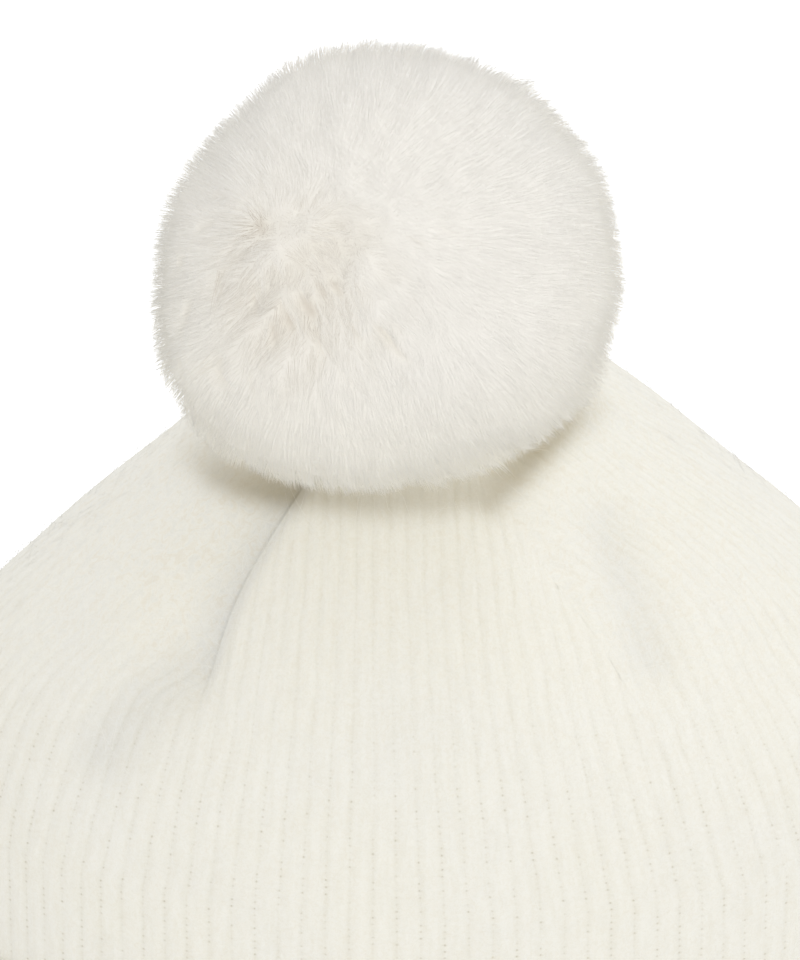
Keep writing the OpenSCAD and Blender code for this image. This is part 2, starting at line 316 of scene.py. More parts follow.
def makeKnit():
    mat, tree = newMaterial("ivoryKnit")
    split = addNode(tree, "SeparateXYZ", {0: addNode(tree, "UVMap", {}).outputs["UV"]})
    u, v = split.outputs["X"], split.outputs["Y"]
    brushed, foldShade, contactShadow = (attribute(tree, label) for label in knitLooks)
    # distance from the middle of a rib, 0 to 1 in the valley
    fromMiddle = calc(tree, "ABSOLUTE", calc(tree, "MULTIPLY_ADD", calc(tree, "FRACT", u), 2.0, -1.0))
    showing = calc(tree, "MULTIPLY_ADD", brushed, -yarn["hidden"], 1.0)
    valley = calc(tree, "MULTIPLY", calc(tree, "POWER", fromMiddle, 3.0), showing)
    # yarn drawn out along the ribs
    drawn = pair(tree, *(calc(tree, "MULTIPLY", c, scale) for c, scale in zip((u, v), yarn["drawn"])))
    streak = noise(tree, drawn, 1.0, 3, 0.4)
    fine, tufts = fibres(tree, yarn["fibreScale"]), fibres(tree, yarn["tuftScale"])
    # a hole now and then where two courses meet in a valley, low on the hat
    cell = pair(tree, calc(tree, "ROUND", u), calc(tree, "ROUND", v))
    chance = addNode(tree, "TexWhiteNoise", {"Vector": cell}).outputs["Value"]
    beat = calc(tree, "COSINE", calc(tree, "MULTIPLY", v, 2 * math.pi))
    beat = calc(tree, "POWER", calc(tree, "MAXIMUM", beat, 0.0), 2.0)
    low = mapRange(tree, v, yarn["holesTo"], yarn["holesFrom"], 1.0, yarn["holesLeft"],
                   interpolation_type="SMOOTHSTEP")
    hole = calc(tree, "POWER", fromMiddle, 11.0)
    for factor in (beat, calc(tree, "POWER", chance, 1.7), low):
        hole = calc(tree, "MULTIPLY", hole, factor)
    # colour, with painted shade in the valleys between ribs and in the holes; brushed fibres lie in small light and
    # warm tufts
    tone = ramp(tree, valley, (0.0, yarn["ridge"]), (1.0, yarn["valley"]))
    tone = mix(tree, calc(tree, "MULTIPLY_ADD", fine["Drift"], 1.6, -0.55), tone, yarn["cool"], "MIX")
    lines = ramp(tree, streak, (0.34, yarn["streak"]), (0.62, white))
    mottle = ramp(tree, tufts["Fibres"], (0.35, yarn["warmTuft"]), (0.5, white), (0.66, yarn["coolTuft"]))
    specks = ramp(tree, fine["Fibres"], (0.36, yarn["speck"]), (0.58, white))
    # the fold tint is painted shade, and the contact tint painted shadow under the edge of the pom
    for share, tint in (
            (showing, lines), (calc(tree, "MULTIPLY_ADD", brushed, 0.7, 0.3), mottle),
            (foldShade, yarn["fold"]), (contactShadow, yarn["contactShadow"]), (1.0, specks)):
        tone = mix(tree, share, tone, tint)
    # the holes are painted dark, as the shade inside them
    tone = mix(tree, hole, tone, yarn["hole"], "MIX")
    height = calc(tree, "MULTIPLY_ADD", streak, 0.8, fine["Fibres"])
    height = calc(tree, "MULTIPLY_ADD", hole, -0.8, height)
    normal = bump(tree, height, yarn["bump"], yarn["bumpDepth"])
    return finish(mat, 0.95, 0.15, BaseColor=tone, Normal=normal, SheenWeight=0.35, SheenRoughness=0.6)


def makeSoft(name, light, dark, scale, rough):
    mat, tree = newMaterial(name)
    fibre = fibres(tree, scale)["Fibres"]
    tone = ramp(tree, fibre, (0.3, dark), (0.65, light))
    return finish(mat, 0.95, 0.1, BaseColor=tone, Normal=bump(tree, fibre, rough), SheenWeight=0.3)


furLook = {
    # colours for the shade attribute; its darker stops are painted shade
    "stops": ((0.2, (0.30, 0.24, 0.17)), (0.45, (0.62, 0.55, 0.46)),
              (0.7, (0.857, 0.814, 0.727)), (1.0, (0.922, 0.896, 0.840))),
    # painted warm light bounced from the crown
    "cream": (1.0, 0.985, 0.88),
    "creamFrom": 0.070,       # above the tip
    "creamTo": 0.010,
    "fibreScale": 1500,
}


def makeFur(name, grain):
    mat, tree = newMaterial(name)
    tone = ramp(tree, attribute(tree, "shade"), *furLook["stops"])
    # painted warm bounce light low down, where the fur lies against the crown
    height = addNode(tree, "VectorMath", {0: objectPlace(tree), 1: pomAxes[2]}, operation="DOT_PRODUCT")
    foot = float(tipPoint @ pomAxes[2])
    low = mapRange(tree, height.outputs["Value"], foot + furLook["creamTo"], foot + furLook["creamFrom"], 1.0, 0.0)
    look = {"BaseColor": mix(tree, low, tone, furLook["cream"]), "SheenWeight": 0.7, "SheenRoughness": 0.5}
    if grain:
        look["Normal"] = bump(tree, fibres(tree, furLook["fibreScale"])["Fibres"], grain)
    return finish(mat, 0.8, 0.1, **look)


def makeNickel():
    mat, tree = newMaterial("nickel")
    scratch = noise(tree, objectPlace(tree), 1600, 3)
    rough = mapRange(tree, scratch, 0.0, 1.0, 0.22, 0.42)
    tone = ramp(tree, scratch, (0.3, (0.60, 0.60, 0.61)), (0.7, (0.74, 0.74, 0.75)))
    return finish(mat, rough, 0.5, BaseColor=tone, Normal=bump(tree, scratch, 0.05, 0.0001), Metallic=1.0)


knitMat = makeKnit()
haloMat = finish(newMaterial("angoraHalo")[0], 0.9, 0.1, BaseColor=(0.90, 0.885, 0.82))
threadMat = makeSoft("sewingYarn", (0.84, 0.81, 0.72), (0.70, 0.66, 0.56), 1400, 0.5)
feltMat = makeSoft("whiteFelt", (0.86, 0.85, 0.81), (0.76, 0.74, 0.69), 700, 0.7)
waddingMat = makeSoft("whiteWadding", (0.88, 0.87, 0.84), (0.78, 0.77, 0.73), 420, 0.9)
skinMat = makeFur("underFur", 0.4)
furMat = makeFur("furStrands", 0.0)
nickelMat = makeNickel()
print("materials made")


# Crown surface

def softLeast(a, b):
    s = hat["bendSoftness"]
    return -s * np.log(np.exp(-a / s) + np.exp(-b / s))


def halfSpan(q, half, flare, share):
    sloping = hat["tipRadius"] + (half + flare - hat["tipRadius"]) * share
    return softLeast(half, sloping) + (half - softLeast(half, half + flare)) * (1 - q)


def crownPoint(share, angle, off=0.0):
    # share 0 is the foot of the crown and 1 the gathered tip
    q = np.clip(share, 0, 1)
    across, back, rise = hat["tip"]
    base = hat["crownBase"]
    tilt = hat["tipTilt"] * q ** hat["tiltDelay"]
    shoulder = (1 - q ** hat["shoulderBow"]) ** (1 / hat["shoulderClose"])
    bow = np.where(np.sin(angle) < 0, hat["frontBow"], hat["rearBow"])
    side = (1 - q ** bow) ** (1 / bow)
    wide = halfSpan(q, hat["halfWidth"] + off, hat["shoulderFlare"], shoulder) * np.cos(angle)
    deep = halfSpan(q, hat["halfDepth"] + off, hat["frontFlare"], side) * np.sin(angle)
    return np.stack((
        wide + across * q ** hat["leanDelay"],
        deep * np.cos(tilt) + back * q ** 2 - off * q * np.sin(tilt),
        base + (rise - base) * share + deep * np.sin(tilt) + off * q * np.cos(tilt)), -1)


def dartAngles(q):
    # front right, back right, back left, front left and front right darts, in degrees
    swing = ease((q - hat["swingFoot"]) / (hat["swingHead"] - hat["swingFoot"]))
    left = hat["dartLeft"] + hat["dartSwing"] * swing
    right = np.full_like(q, hat["dartRight"])
    return [-right, right, left, 360 - left, 360 - right]


def surfaceNormal(q, angle, step=0.004):
    around = crownPoint(q, angle + step) - crownPoint(q, angle - step)
    rise = crownPoint(np.minimum(q + step, 1.0), angle) - crownPoint(q - step, angle)
    return unit(np.cross(around, rise))


def lineDistance(points, line):
    # distance from each point to a polyline, and how far along it that is
    best = np.full(points.shape[:-1], 1e9)
    along = np.zeros(points.shape[:-1])
    for i in range(len(line) - 1):
        a, b = line[i], line[i + 1]
        t = np.clip(((points - a) @ (b - a)) / ((b - a) @ (b - a)), 0, 1)
        d = np.linalg.norm(points - (a + t[..., None] * (b - a)), axis=-1)
        along = np.where(d < best, (i + t) / (len(line) - 1), along)
        best = np.minimum(best, d)
    return best, along


# Knit

rib = {
    # share of the way up the crown, and the pitch there
    "pitch": ((0.0, 0.00483), (0.2, 0.00441), (0.4, 0.00395), (0.6, 0.00359), (0.8, 0.00341), (1.0, 0.00339)),
    "middle": -0.013,         # across the hat, where a rib runs straight up
    "crowd": 4.0,             # how the ribs crowd towards the sides of the crown
    "depth": 0.00027,
    "wobble": 0.05,
    "uneven": 0.0004,
    "course": 0.0015,
    "stitch": 0.00002,
    "hole": 0.00008,
    "holeWidth": 0.13,
    "fuzz": 0.00006,
    "columns": 8,             # grid columns for each rib
    "rows": 250,
    "innerRows": 30,
    "inside": 0.6,            # strength of the ribs on the inside
    "brushed": 0.7,           # how far brushing flattens them
}
ribPitch = list(zip(*rib["pitch"]))
footPitch = rib["pitch"][0][1]

fold = {
    "crease": 0.0019,
    "reach": 0.007,
    "lip": 0.0007,
    "leftFoot": 0.36,
    "rightFoot": 0.60,
    "backFoot": 0.45,
    "follow": 0.55,           # how far the ribs follow the sides of the crown above the foot of a dart
    "turn": 0.42,             # how far the ribs turn in towards the front right dart
    "pull": 0.024,
    "rise": 0.0008,           # how far the front gore stands up beside its left dart
    "riseReach": 0.022,
    "roll": 0.0017,
    "rollReach": 0.0024,
    "sink": 0.0020,
    "sinkReach": 0.012,
    "softCrease": 0.0007,
    "softReach": 0.010,
    "before": 0.06,           # how far below its foot a dart begins to show
    "flatReach": 0.0016,
    # painted shade beside the left dart, and how far it reaches on each gore
    "shade": 0.6,
    "shadeReach": {"leftGore": 0.0075, "frontGore": 0.0018},
    "plainFrom": 0.90,        # the knit is plain close to the tip, which leaves the pom room to nod
    "plainOver": 0.06,
}

softFolds = (
    # share and angle of the points that a fold runs through, its depth, its width and the strength of its painted
    # shade
    {"points": ((0.70, -41.0), (0.60, -49.5), (0.47, -55.5)), "depth": 0.0028, "width": 0.0072, "shade": 0.34},
    {"points": ((0.44, -129.0), (0.36, -131.0), (0.25, -133.0)), "depth": 0.0022, "width": 0.009, "shade": 0.42},
    {"points": ((0.65, -63.0), (0.61, -63.0)), "depth": 0.0020, "width": 0.005, "shade": 0.0},
)

# Painted shadow: the knit is darker where the edge of the pom rests on the crown
contact = {
    # share, angle and strength along the line
    "points": (
        (0.658, -190.8, 0.0), (0.688, -179.2, 0.25), (0.715, -162.8, 0.68), (0.735, -152.8, 0.84),
        (0.755, -144.5, 0.94), (0.773, -136.8, 0.96), (0.790, -128.5, 0.66), (0.802, -120.0, 0.64),
        (0.810, -111.0, 0.58), (0.818, -102.0, 0.54), (0.825, -93.0, 0.52), (0.822, -84.0, 0.48),
        (0.827, -74.0, 0.52), (0.812, -66.5, 0.64), (0.830, -52.2, 0.80), (0.837, -36.2, 0.94),
        (0.830, -19.8, 0.82), (0.807, -5.0, 0.36), (0.773, 11.0, 0.0)),
    "outer": 0.0038,
    "inner": 0.0075,
    "strength": 0.85,
}

gores = (
    {"name": "frontGore", "node": "front_gore", "dart": 3, "feet": ("leftFoot", "rightFoot"), "nap": 0.15},
    {"name": "rightGore", "node": "right_gore", "dart": 0, "feet": ("rightFoot", "backFoot"), "nap": 0.55},
    {"name": "backGore", "node": "back_gore", "dart": 1, "feet": ("backFoot", "backFoot"), "nap": 0.3},
    {"name": "leftGore", "node": "left_gore", "dart": 2, "feet": ("backFoot", "leftFoot"), "nap": 1.0},
)


def ribRelief(u, v):
    # rounded ribs with sharp valleys, slanted stitches, and a small hole in the valley at each course
    ridge = np.abs(np.sin(math.pi * u)) ** 0.75
    fromMiddle = np.abs((u % 1.0) * 2 - 1)
    leg = np.cos(2 * math.pi * (v + 0.6 * fromMiddle)) * (1 - fromMiddle ** 4)
    hole = bell((u - np.round(u)) / rib["holeWidth"]) * np.clip(np.cos(2 * math.pi * v), 0, 1) ** 2
    # ribs vary along their length, and the yarn lies unevenly on them
    flat = np.stack((u.ravel(), v.ravel() * 0.08, np.zeros(u.size)), -1)
    vary = (1 + 0.35 * waveNoise(flat, 4.0, 41)).reshape(u.shape)
    fuzz = waveNoise(flat * (1, 3, 1), 0.55, 42, 10).reshape(u.shape)
    return rib["depth"] * vary * (ridge - 1) + rib["stitch"] * leg - rib["hole"] * hole + rib["fuzz"] * fuzz


def softFoldEffect(points):
    # how deep each point lies in a soft fold, and how much painted shade it takes there
    drop, shade = np.zeros(points.shape[:-1]), np.zeros(points.shape[:-1])
    for f in softFolds:
        q, angle = np.array(f["points"]).T
        away = lineDistance(points, crownPoint(q, np.radians(angle)))[0] / f["width"]
        drop += f["depth"] * bell(away)
        shade = np.maximum(shade, f["shade"] * bell(away / 0.75))
    return drop, shade


def contactShade(points, share):
    q, angle, strength = np.array(contact["points"]).T
    d, along = lineDistance(points, crownPoint(q, np.radians(angle)))
    steps = np.linspace(0, 1, len(q))
    reach = np.where(share > np.interp(along, steps, q), contact["inner"], contact["outer"])
    return contact["strength"] * np.interp(along, steps, strength) * bell(d / reach)


def footLine(gore, count):
    darts = dartAngles(np.zeros(1))
    return np.radians(np.linspace(darts[gore["dart"]][0], darts[gore["dart"] + 1][0], count))


def goreColumns(gore):
    # an even number of ribs at the foot of a gore, and so its columns
    length = runLength(crownPoint(np.zeros(400), footLine(gore, 400)))[-1]
    return 2 * round(length / 2 / footPitch) * rib["columns"]


def ribRows(shares):
    # lengths round each row of the crown, and at the front, right side, back, left side and front again
    turn = np.radians(np.linspace(-150, 300, 1801))
    near, far = np.abs(turn + math.pi / 2) < 0.9, np.abs(turn - math.pi / 2) < 0.9
    q = np.repeat(shares[:, None], len(turn), axis=1)
    points = crownPoint(q, np.broadcast_to(turn, q.shape))
    lengths = runLength(points)
    marks = []
    for x, line in zip(points[..., 0], lengths):
        front = np.interp(rib["middle"], x[near], line[near])
        back = np.interp(-rib["middle"], -x[far], line[far])
        right, left, start, end = np.interp(np.radians((0, 180, -90, 270)), turn, line)
        marks.append((front, right, back, left, front + end - start))
    return turn, lengths, np.array(marks)


quarters = [round(span / footPitch) for span in np.diff(ribRows(np.zeros(1))[2][0])]


def countRibs(gore, shares, angle, edges):
    # the rib that each point lies on, counted round the hat from the front; the ribs run up nearly side by side
    # and crowd at the sides, and above the foot of a dart they follow the crown's sides and run out into the dart
    turn, lengths, marks = ribRows(shares)
    here = np.array([np.interp(a, turn, line) for a, line in zip(angle, lengths)])
    front, right, back, left, again = (marks[:, k:k + 1] for k in range(5))
    total, half = sum(quarters), sum(quarters[:2])
    q = np.repeat(shares[:, None], angle.shape[1], axis=1)
    pitch = np.interp(shares, *ribPitch)
    u = np.zeros_like(here)
    for where, way, k, first, sign in (
            (here < right, here - front, 0, 0, 1),
            ((here >= right) & (here < back), back - here, 1, half, -1),
            ((here >= back) & (here < left), here - back, 2, half, 1),
            ((here >= left) & (here < again), again - here, 3, total, -1),
            (here >= again, here - again, 0, total, 1)):
        span = marks[:, k + 1] - marks[:, k]
        fit = np.clip(span / (quarters[k] * pitch), 0, 1.2)
        t = np.clip(way / span[:, None], 0, 1)
        share = fit[:, None] * t + (1 - fit[:, None]) * t ** rib["crowd"]
        if gore["name"] in ("rightGore", "leftGore"):
            foot, edge = fold[gore["feet"][k % 2]], edges[k % 2]
            footSpan, footFit = (np.interp(foot - 0.05, shares, a) for a in (span, fit))
            held = np.clip(1 - (1 - t) * span[:, None] / footSpan, 0, 1)
            held = footFit * held + (1 - footFit) * held ** rib["crowd"]
            apart = 1 - (1 - ease((q - foot) / 0.06)) * bell(edge / 0.02)
            share = share + (held - share) * fold["follow"] * ease((q - foot + 0.2) / 0.3) * apart
        u = np.where(where, first + sign * quarters[k] * share, u)
    return u


def gorePoints(gore, shares, cols, face):
    # the points of one face of a gore, the way they face, the rib and course that each lies on, and its looks
    start, end = (np.radians(dartAngles(shares)[gore["dart"] + k]) for k in (0, 1))
    q = np.repeat(shares[:, None], cols + 1, axis=1)
    angle = start[:, None] + (end - start)[:, None] * np.linspace(0, 1, cols + 1)[None, :]
    base = crownPoint(q, angle)
    along = runLength(base)
    edges = (along, along[:, -1:] - along)
    u = countRibs(gore, shares, angle, edges)
    if gore["name"] == "rightGore":
        # round the foot of the front dart the ribs turn in towards it
        foot = fold["rightFoot"]
        at = np.abs(shares - foot).argmin()
        away = np.linalg.norm(base - base[at, 0], axis=-1)
        pull = fold["turn"] * bell(along / fold["pull"]) * ease((q - foot) / 0.05)
        u = u * (1 - pull) + (u[at, 0] + away / np.interp(foot, *ribPitch)) * pull
    # nothing wanders at the seams
    loose = ease(q / 0.06) * ease(np.minimum(*edges) / 0.006)
    coarse, fine, uneven = (
        waveNoise(base.reshape(-1, 3), scale, seed).reshape(u.shape) * loose
        for scale, seed in ((0.022, 31), (0.007, 32), (0.03, 33)))
    u = u + rib["wobble"] * (coarse + 0.5 * fine)
    climb = runLength(crownPoint(shares, (start + end) / 2))
    v = np.repeat((climb / rib["course"])[:, None], cols + 1, axis=1)
    # the sides are brushed, so that the ribs show less
    brushed = gore["nap"] * ease((q - 0.25) / 0.3)
    if face > 0:
        relief = ribRelief(u, v) * (1 - rib["brushed"] * brushed)
    else:
        relief = -rib["inside"] * ribRelief(u + 0.5, v)
    drop, foldShade = softFoldEffect(base)
    drop += rib["uneven"] * uneven
    for edge, foot in zip(edges, gore["feet"]):
        # creases along the two darts; the front gore rolls over the left gore, which sinks beside it
        grip = ease((q - fold[foot] + fold["before"]) / 0.2)
        near = edge / fold["reach"]
        if face < 0 or foot == "backFoot":
            drop += grip * fold["crease"] * np.clip(1 - near, 0, 1) ** 2
            drop -= grip * fold["lip"] * bell((near - 0.8) / 0.5)
        elif foot == "rightFoot":
            drop += grip * fold["softCrease"] * bell(edge / fold["softReach"])
        elif gore["name"] == "leftGore":
            drop += grip * fold["sink"] * bell(edge / fold["sinkReach"])
        else:
            drop -= grip * fold["rise"] * bell(edge / fold["riseReach"])
            drop += grip * fold["roll"] * bell(edge / fold["rollReach"])
        # the ribs run out flat at a dart
        grip = ease((q - fold[foot]) / 0.1)
        relief = relief * (1 - grip * bell(edge / fold["flatReach"]))
        # painted shade beside the left dart
        if foot == "leftFoot":
            foldShade = np.maximum(foldShade, fold["shade"] * grip * bell(edge / fold["shadeReach"][gore["name"]]))
    proud = (relief - drop) * (1 - ease((q - fold["plainFrom"]) / fold["plainOver"]))
    normal = surfaceNormal(q, angle)
    points = crownPoint(q, angle, face * halfKnit) + normal * proud[..., None]
    return points, normal * face, u, v, brushed, foldShade, contactShade(base, q) * (face > 0)


def gridNormals(points, base, gore, shares):
    # normals of the relief, evened out where the knit runs on into the next piece
    normal = unit(np.cross(np.gradient(points, axis=1), np.gradient(points, axis=0)))
    normal = normal * np.sign((normal * base).sum(-1, keepdims=True))
    for edge, foot in zip((0, -1), gore["feet"]):
        below = 1 - ease((shares - fold[foot] + fold["before"]) / 0.1)[:, None]
        normal[:, edge] = unit(normal[:, edge] * (1 - below) + base[:, edge] * below)
    normal[0] = base[0]
    return normal


def bridgeChains(bm, *chains):
    edges = [bm.edges.get((bm.verts[a], bm.verts[b])) for chain in chains for a, b in zip(chain[:-1], chain[1:])]
    bmesh.ops.bridge_loops(bm, edges=edges)


def makeGore(gore):
    cols = goreColumns(gore)
    shares = np.linspace(0, 1, rib["rows"] + 1)
    outer = gorePoints(gore, shares, cols, 1)
    inner = (a[::-1] for a in gorePoints(gore, np.linspace(1, 0, rib["innerRows"] + 1)[::-1], cols, -1))
    points, normals, u, v, *looks = (np.concatenate(faces) for faces in zip(outer, inner))
    normals[:len(shares)] = gridNormals(outer[0], outer[1], gore, shares)
    mesh, spot = gridMesh(gore["name"], points)
    order = np.empty(points.shape[:2], int)
    order[spot] = np.arange(len(mesh.vertices))
    bm = bmesh.new()
    bm.from_mesh(mesh)
    bm.verts.ensure_lookup_table()
    for c in (0, cols):
        bridgeChains(bm, order[:len(shares), c].tolist(), order[len(shares):, c].tolist())
    bridgeChains(bm, order[0].tolist(), order[-1].tolist())
    bmesh.ops.recalc_face_normals(bm, faces=bm.faces)
    toMesh(bm, mesh)
    setUv(mesh, np.stack((u, v), -1)[spot])
    for label, values in zip(knitLooks, looks):
        setValues(mesh, label, values[spot])
    addObject(gore["name"], mesh, knitMat, "hat", (gore["node"],), normals[spot])
    print(gore["name"], len(mesh.polygons), "faces")
    return {"points": outer[0], "normals": outer[1], "foot": u[0], "angles": footLine(gore, cols + 1)}


crown = [makeGore(g) for g in gores]
print("crown made")


def sweptKnit(name, node, angles, ribCoord, profile):
    # a closed tube of knit: each row gives its step out, its height, the way it faces, the strength of its ribs
    # and its course
    step, height, facing, strength, course = (np.array(p)[:, None] for p in zip(*profile))
    u, v = np.broadcast_arrays(ribCoord[None, :], course)
    x, y, level = np.cos(angles), np.sin(angles), np.zeros_like(angles)
    radial = unit(np.stack((x / hat["halfWidth"], y / hat["halfDepth"], level), -1))
    plain = np.cos(facing)[..., None] * radial[None] + np.sin(facing)[..., None] * np.array((0, 0, 1.0))
    points = np.stack(((hat["halfWidth"] + step) * x, (hat["halfDepth"] + step) * y, height + level), -1)
    points = points + plain * (ribRelief(u, v) * strength)[..., None]
    # normals of the relief; the row that runs on into the crown stays plain
    p = points[:-1, :-1]
    n = unit(np.cross(np.roll(p, -1, 1) - np.roll(p, 1, 1), np.roll(p, -1, 0) - np.roll(p, 1, 0)))
    n = n * np.sign((n * plain[:-1, :-1]).sum(-1, keepdims=True))
    n = np.pad(n, ((0, 1), (0, 1), (0, 0)), "wrap")
    edge = (height[:, 0] == hat["crownBase"]) & (facing[:, 0] == 0)
    n[edge] = plain[edge]
    mesh, spot = gridMesh(name, points)
    setValues(mesh, "facing", n[spot], "FLOAT_VECTOR", "vector")
    setUv(mesh, np.stack((u, v), -1)[spot])
    closeUp(mesh, 1e-6, False)
    normals = np.empty(len(mesh.vertices) * 3, np.float32)
    mesh.attributes["facing"].data.foreach_get("vector", normals)
    mesh.attributes.remove(mesh.attributes["facing"])
    addObject(name, mesh, knitMat, "hat", (node,), normals.reshape(-1, 3))
    return points, plain


cuff = {"height": 0.045, "slack": 0.0003, "rimFlat": 0.0005, "ribs": 118, "columns": 7, "row": 0.0006}
rimRadius = 2 * halfKnit + cuff["slack"] / 2
rimHeight = rimRadius - cuff["rimFlat"]      # where the fold at the rim begins


def bodyProfile():
    top, hidden = hat["crownBase"], cuff["height"] - 0.005
    rows = [(halfKnit, z, 0.0, 1.0) for z in np.linspace(rimHeight, hidden, 8)[:-1]]
    rows += [(halfKnit, z, 0.0, 1.0) for z in np.linspace(hidden, top, 51)]
    rows += [(-halfKnit, z, math.pi, rib["inside"]) for z in np.linspace(top, rimHeight, 24)]
    rows = [(*r, (r[1] - top) / rib["course"]) for r in rows]
    return rows + [rows[0]]


def cuffProfile():
    inside = halfKnit + cuff["slack"]
    outside, crest, middle = inside + 2 * halfKnit, inside + halfKnit, halfKnit + cuff["slack"] / 2
    edge = cuff["height"] - halfKnit
    turn = math.asin(rimHeight / rimRadius)
    rows = []

    def addBow(start, end, count, centre, height, radius, plain, ribbed):
        for t in np.linspace(start, end, count):
            x, z = math.cos(t), math.sin(t)
            rows.append((centre + radius * x, height + radius * z, t, plain + ribbed * abs(x)))

    addBow(math.pi, math.pi + turn, 8, middle, rimHeight, rimRadius, 0.0, rib["inside"])
    addBow(2 * math.pi - turn, 2 * math.pi, 8, middle, rimHeight, rimRadius, 0.0, 1.0)
    count = round((edge - rimHeight) / cuff["row"])
    rows += [(outside, z, 0.0, 1.0) for z in np.linspace(rimHeight, edge, count)[1:-1]]
    addBow(0, math.pi, 9, crest, edge, halfKnit, 0.4, 0.6)
    rows += [(inside, z, math.pi, 0.2) for z in np.linspace(edge, rimHeight, 6)[1:]]
    course = runLength(np.array(rows)[:, :2])
    rows = [(*r, c / rib["course"] - 100) for r, c in zip(rows, course)]
    return rows + [rows[0]]


def roundFoot(key):
    # the columns of the four gores in turn, each seam once
    return np.concatenate([crown[k][key][(0 if k == 1 else 1):] for k in (1, 2, 3, 0)])


tube = sweptKnit("knitBody", "knit_body", roundFoot("angles"), roundFoot("foot"), bodyProfile())
fineTurn = np.linspace(0, 2 * math.pi, 4001)
girth = runLength(np.stack((hat["halfWidth"] * np.cos(fineTurn), hat["halfDepth"] * np.sin(fineTurn)), -1))
cuffSteps = np.linspace(0, 1, cuff["ribs"] * cuff["columns"] + 1)
cuffAngles = np.interp(cuffSteps * girth[-1], girth, fineTurn)
turnUp = sweptKnit("turnedCuff", "turned_cuff", cuffAngles, cuffSteps * cuff["ribs"], cuffProfile())
print("body and cuff made")


# Strands: one tapered three-sided strand, copied along curved paths

def strandTemplate():
    bm = bmesh.new()
    bmesh.ops.create_cone(bm, cap_ends=True, segments=3, radius1=1, radius2=0, depth=1)
    bmesh.ops.remove_doubles(bm, verts=bm.verts, dist=1e-6)
    whole = bm.verts[:] + bm.edges[:] + bm.faces[:]
    bmesh.ops.bisect_plane(bm, geom=whole, plane_co=(0, 0, 0), plane_no=(0, 0, 1))
    bmesh.ops.triangulate(bm, faces=bm.faces)
    bm.verts.index_update()
    co = np.array([v.co for v in bm.verts])
    faces = np.array([[v.index for v in f.verts] for f in bm.faces])
    bm.free()
    return co[:, 2] + 0.5, unit(co[:, :2] + 1e-9), faces


strand = {"template": strandTemplate(), "taper": 0.7, "rootTone": 0.92}


def addStrands(name, paths, radius, shade, facing, evenness, material, body):
    # paths: root, bend and tip of each strand; the shading leans from the strand's own roundness to the way it faces
    along, ring, faces = strand["template"]
    root, bend, end = paths[:, 0], paths[:, 1], paths[:, 2]
    way = unit(end - root)
    side = unit(np.cross(way, unit(dice.normal(size=way.shape))))
    other = np.cross(way, side)
    count, size = len(paths), len(along)
    points = np.empty((count, size, 3), np.float32)
    normals = np.empty((count, size, 3), np.float32)
    tone = np.empty((count, size), np.float32)
    for i, (t, (c, s)) in enumerate(zip(along, ring)):
        centre = root * (1 - t) ** 2 + bend * (2 * t * (1 - t)) + end * t ** 2
        out = side * c + other * s
        points[:, i] = centre + (radius * (1 - t) ** strand["taper"])[:, None] * out
        normals[:, i] = unit(facing * evenness + out * (1 - evenness))
        # roots darker than tips: painted shade deep in the fur
        tone[:, i] = shade * (strand["rootTone"] + (1 - strand["rootTone"]) * t)
    corners = (faces[None] + (np.arange(count) * size)[:, None, None]).astype(np.int32).ravel()
    mesh = bpy.data.meshes.new(name)
    mesh.vertices.add(count * size)
    mesh.vertices.foreach_set("co", points.ravel())
    mesh.loops.add(len(corners))
    mesh.loops.foreach_set("vertex_index", corners)
    mesh.polygons.add(len(corners) // 3)
    mesh.polygons.foreach_set("loop_start", np.arange(0, len(corners), 3, dtype=np.int32))
    mesh.update(calc_edges=True)
    setValues(mesh, "shade", tone)
    obj = addObject(name, mesh, material, body, (), normals.reshape(-1, 3))
    obj.visible_shadow = obj.visible_diffuse = False


# Loose angora hairs lying over the knit
halo = {
    "hairs": 12000,
    "length": 0.0065,
    "radius": 0.000028,
    "share": (0.16, 0.22, 0.14, 0.22, 0.07, 0.19),   # the four gores, the body and the cuff
    "rub": 0.25,              # none lies where the painted contact shadow is stronger than this, close to the tip or under the rim
    "tipRoom": 0.018,
    "floor": 0.0015,
}


def makeAngora():
    places, facings = [], []
    grids = [(c["points"], c["normals"]) for c in crown]
    grids += [[a[8:58] for a in tube], [a[8:-16] for a in turnUp]]
    for (points, normals), part in zip(grids, halo["share"]):
        # an even scatter: cells are drawn by their size
        corner = points[:-1, :-1]
        cell = np.linalg.norm(np.cross(points[1:, :-1] - corner, points[:-1, 1:] - corner), axis=-1).ravel()
        pick = dice.choice(len(cell), int(halo["hairs"] * part), p=cell / cell.sum())
        spot = np.unravel_index(pick, corner.shape[:2])
        places.append(points[spot])
        facings.append(normals[spot])
    place, normal = np.concatenate(places), np.concatenate(facings)
    way = unit(tangent(dice.normal(size=place.shape) + (0, 0, 0.6), normal))
    side = np.cross(normal, way)
    length = (halo["length"] * dice.lognormal(0, 0.45, len(place)))[:, None]
    lift = dice.uniform(0.02, 0.45, (len(place), 1))
    curl = dice.normal(size=(len(place), 1)) * 0.35
    bend = place + length * (0.5 * way + normal * (0.10 + 0.5 * lift))
    end = place + length * (0.95 * way + side * curl + normal * lift * 0.75)
    paths = np.stack((place - normal * 0.0002, bend, end), 1)
    clear = contactShade(place, np.ones(len(place))) < halo["rub"]
    clear &= paths[..., 2].min(1) > halo["floor"]
    clear &= np.linalg.norm(end - tipPoint, axis=-1) > halo["tipRoom"]
    radius = halo["radius"] * dice.uniform(0.7, 1.4, clear.sum())
    addStrands("angoraHalo", paths[clear], radius, 1.0, normal[clear], 0.7, haloMat, "hat")
    print("halo", clear.sum(), "hairs")


# Pom

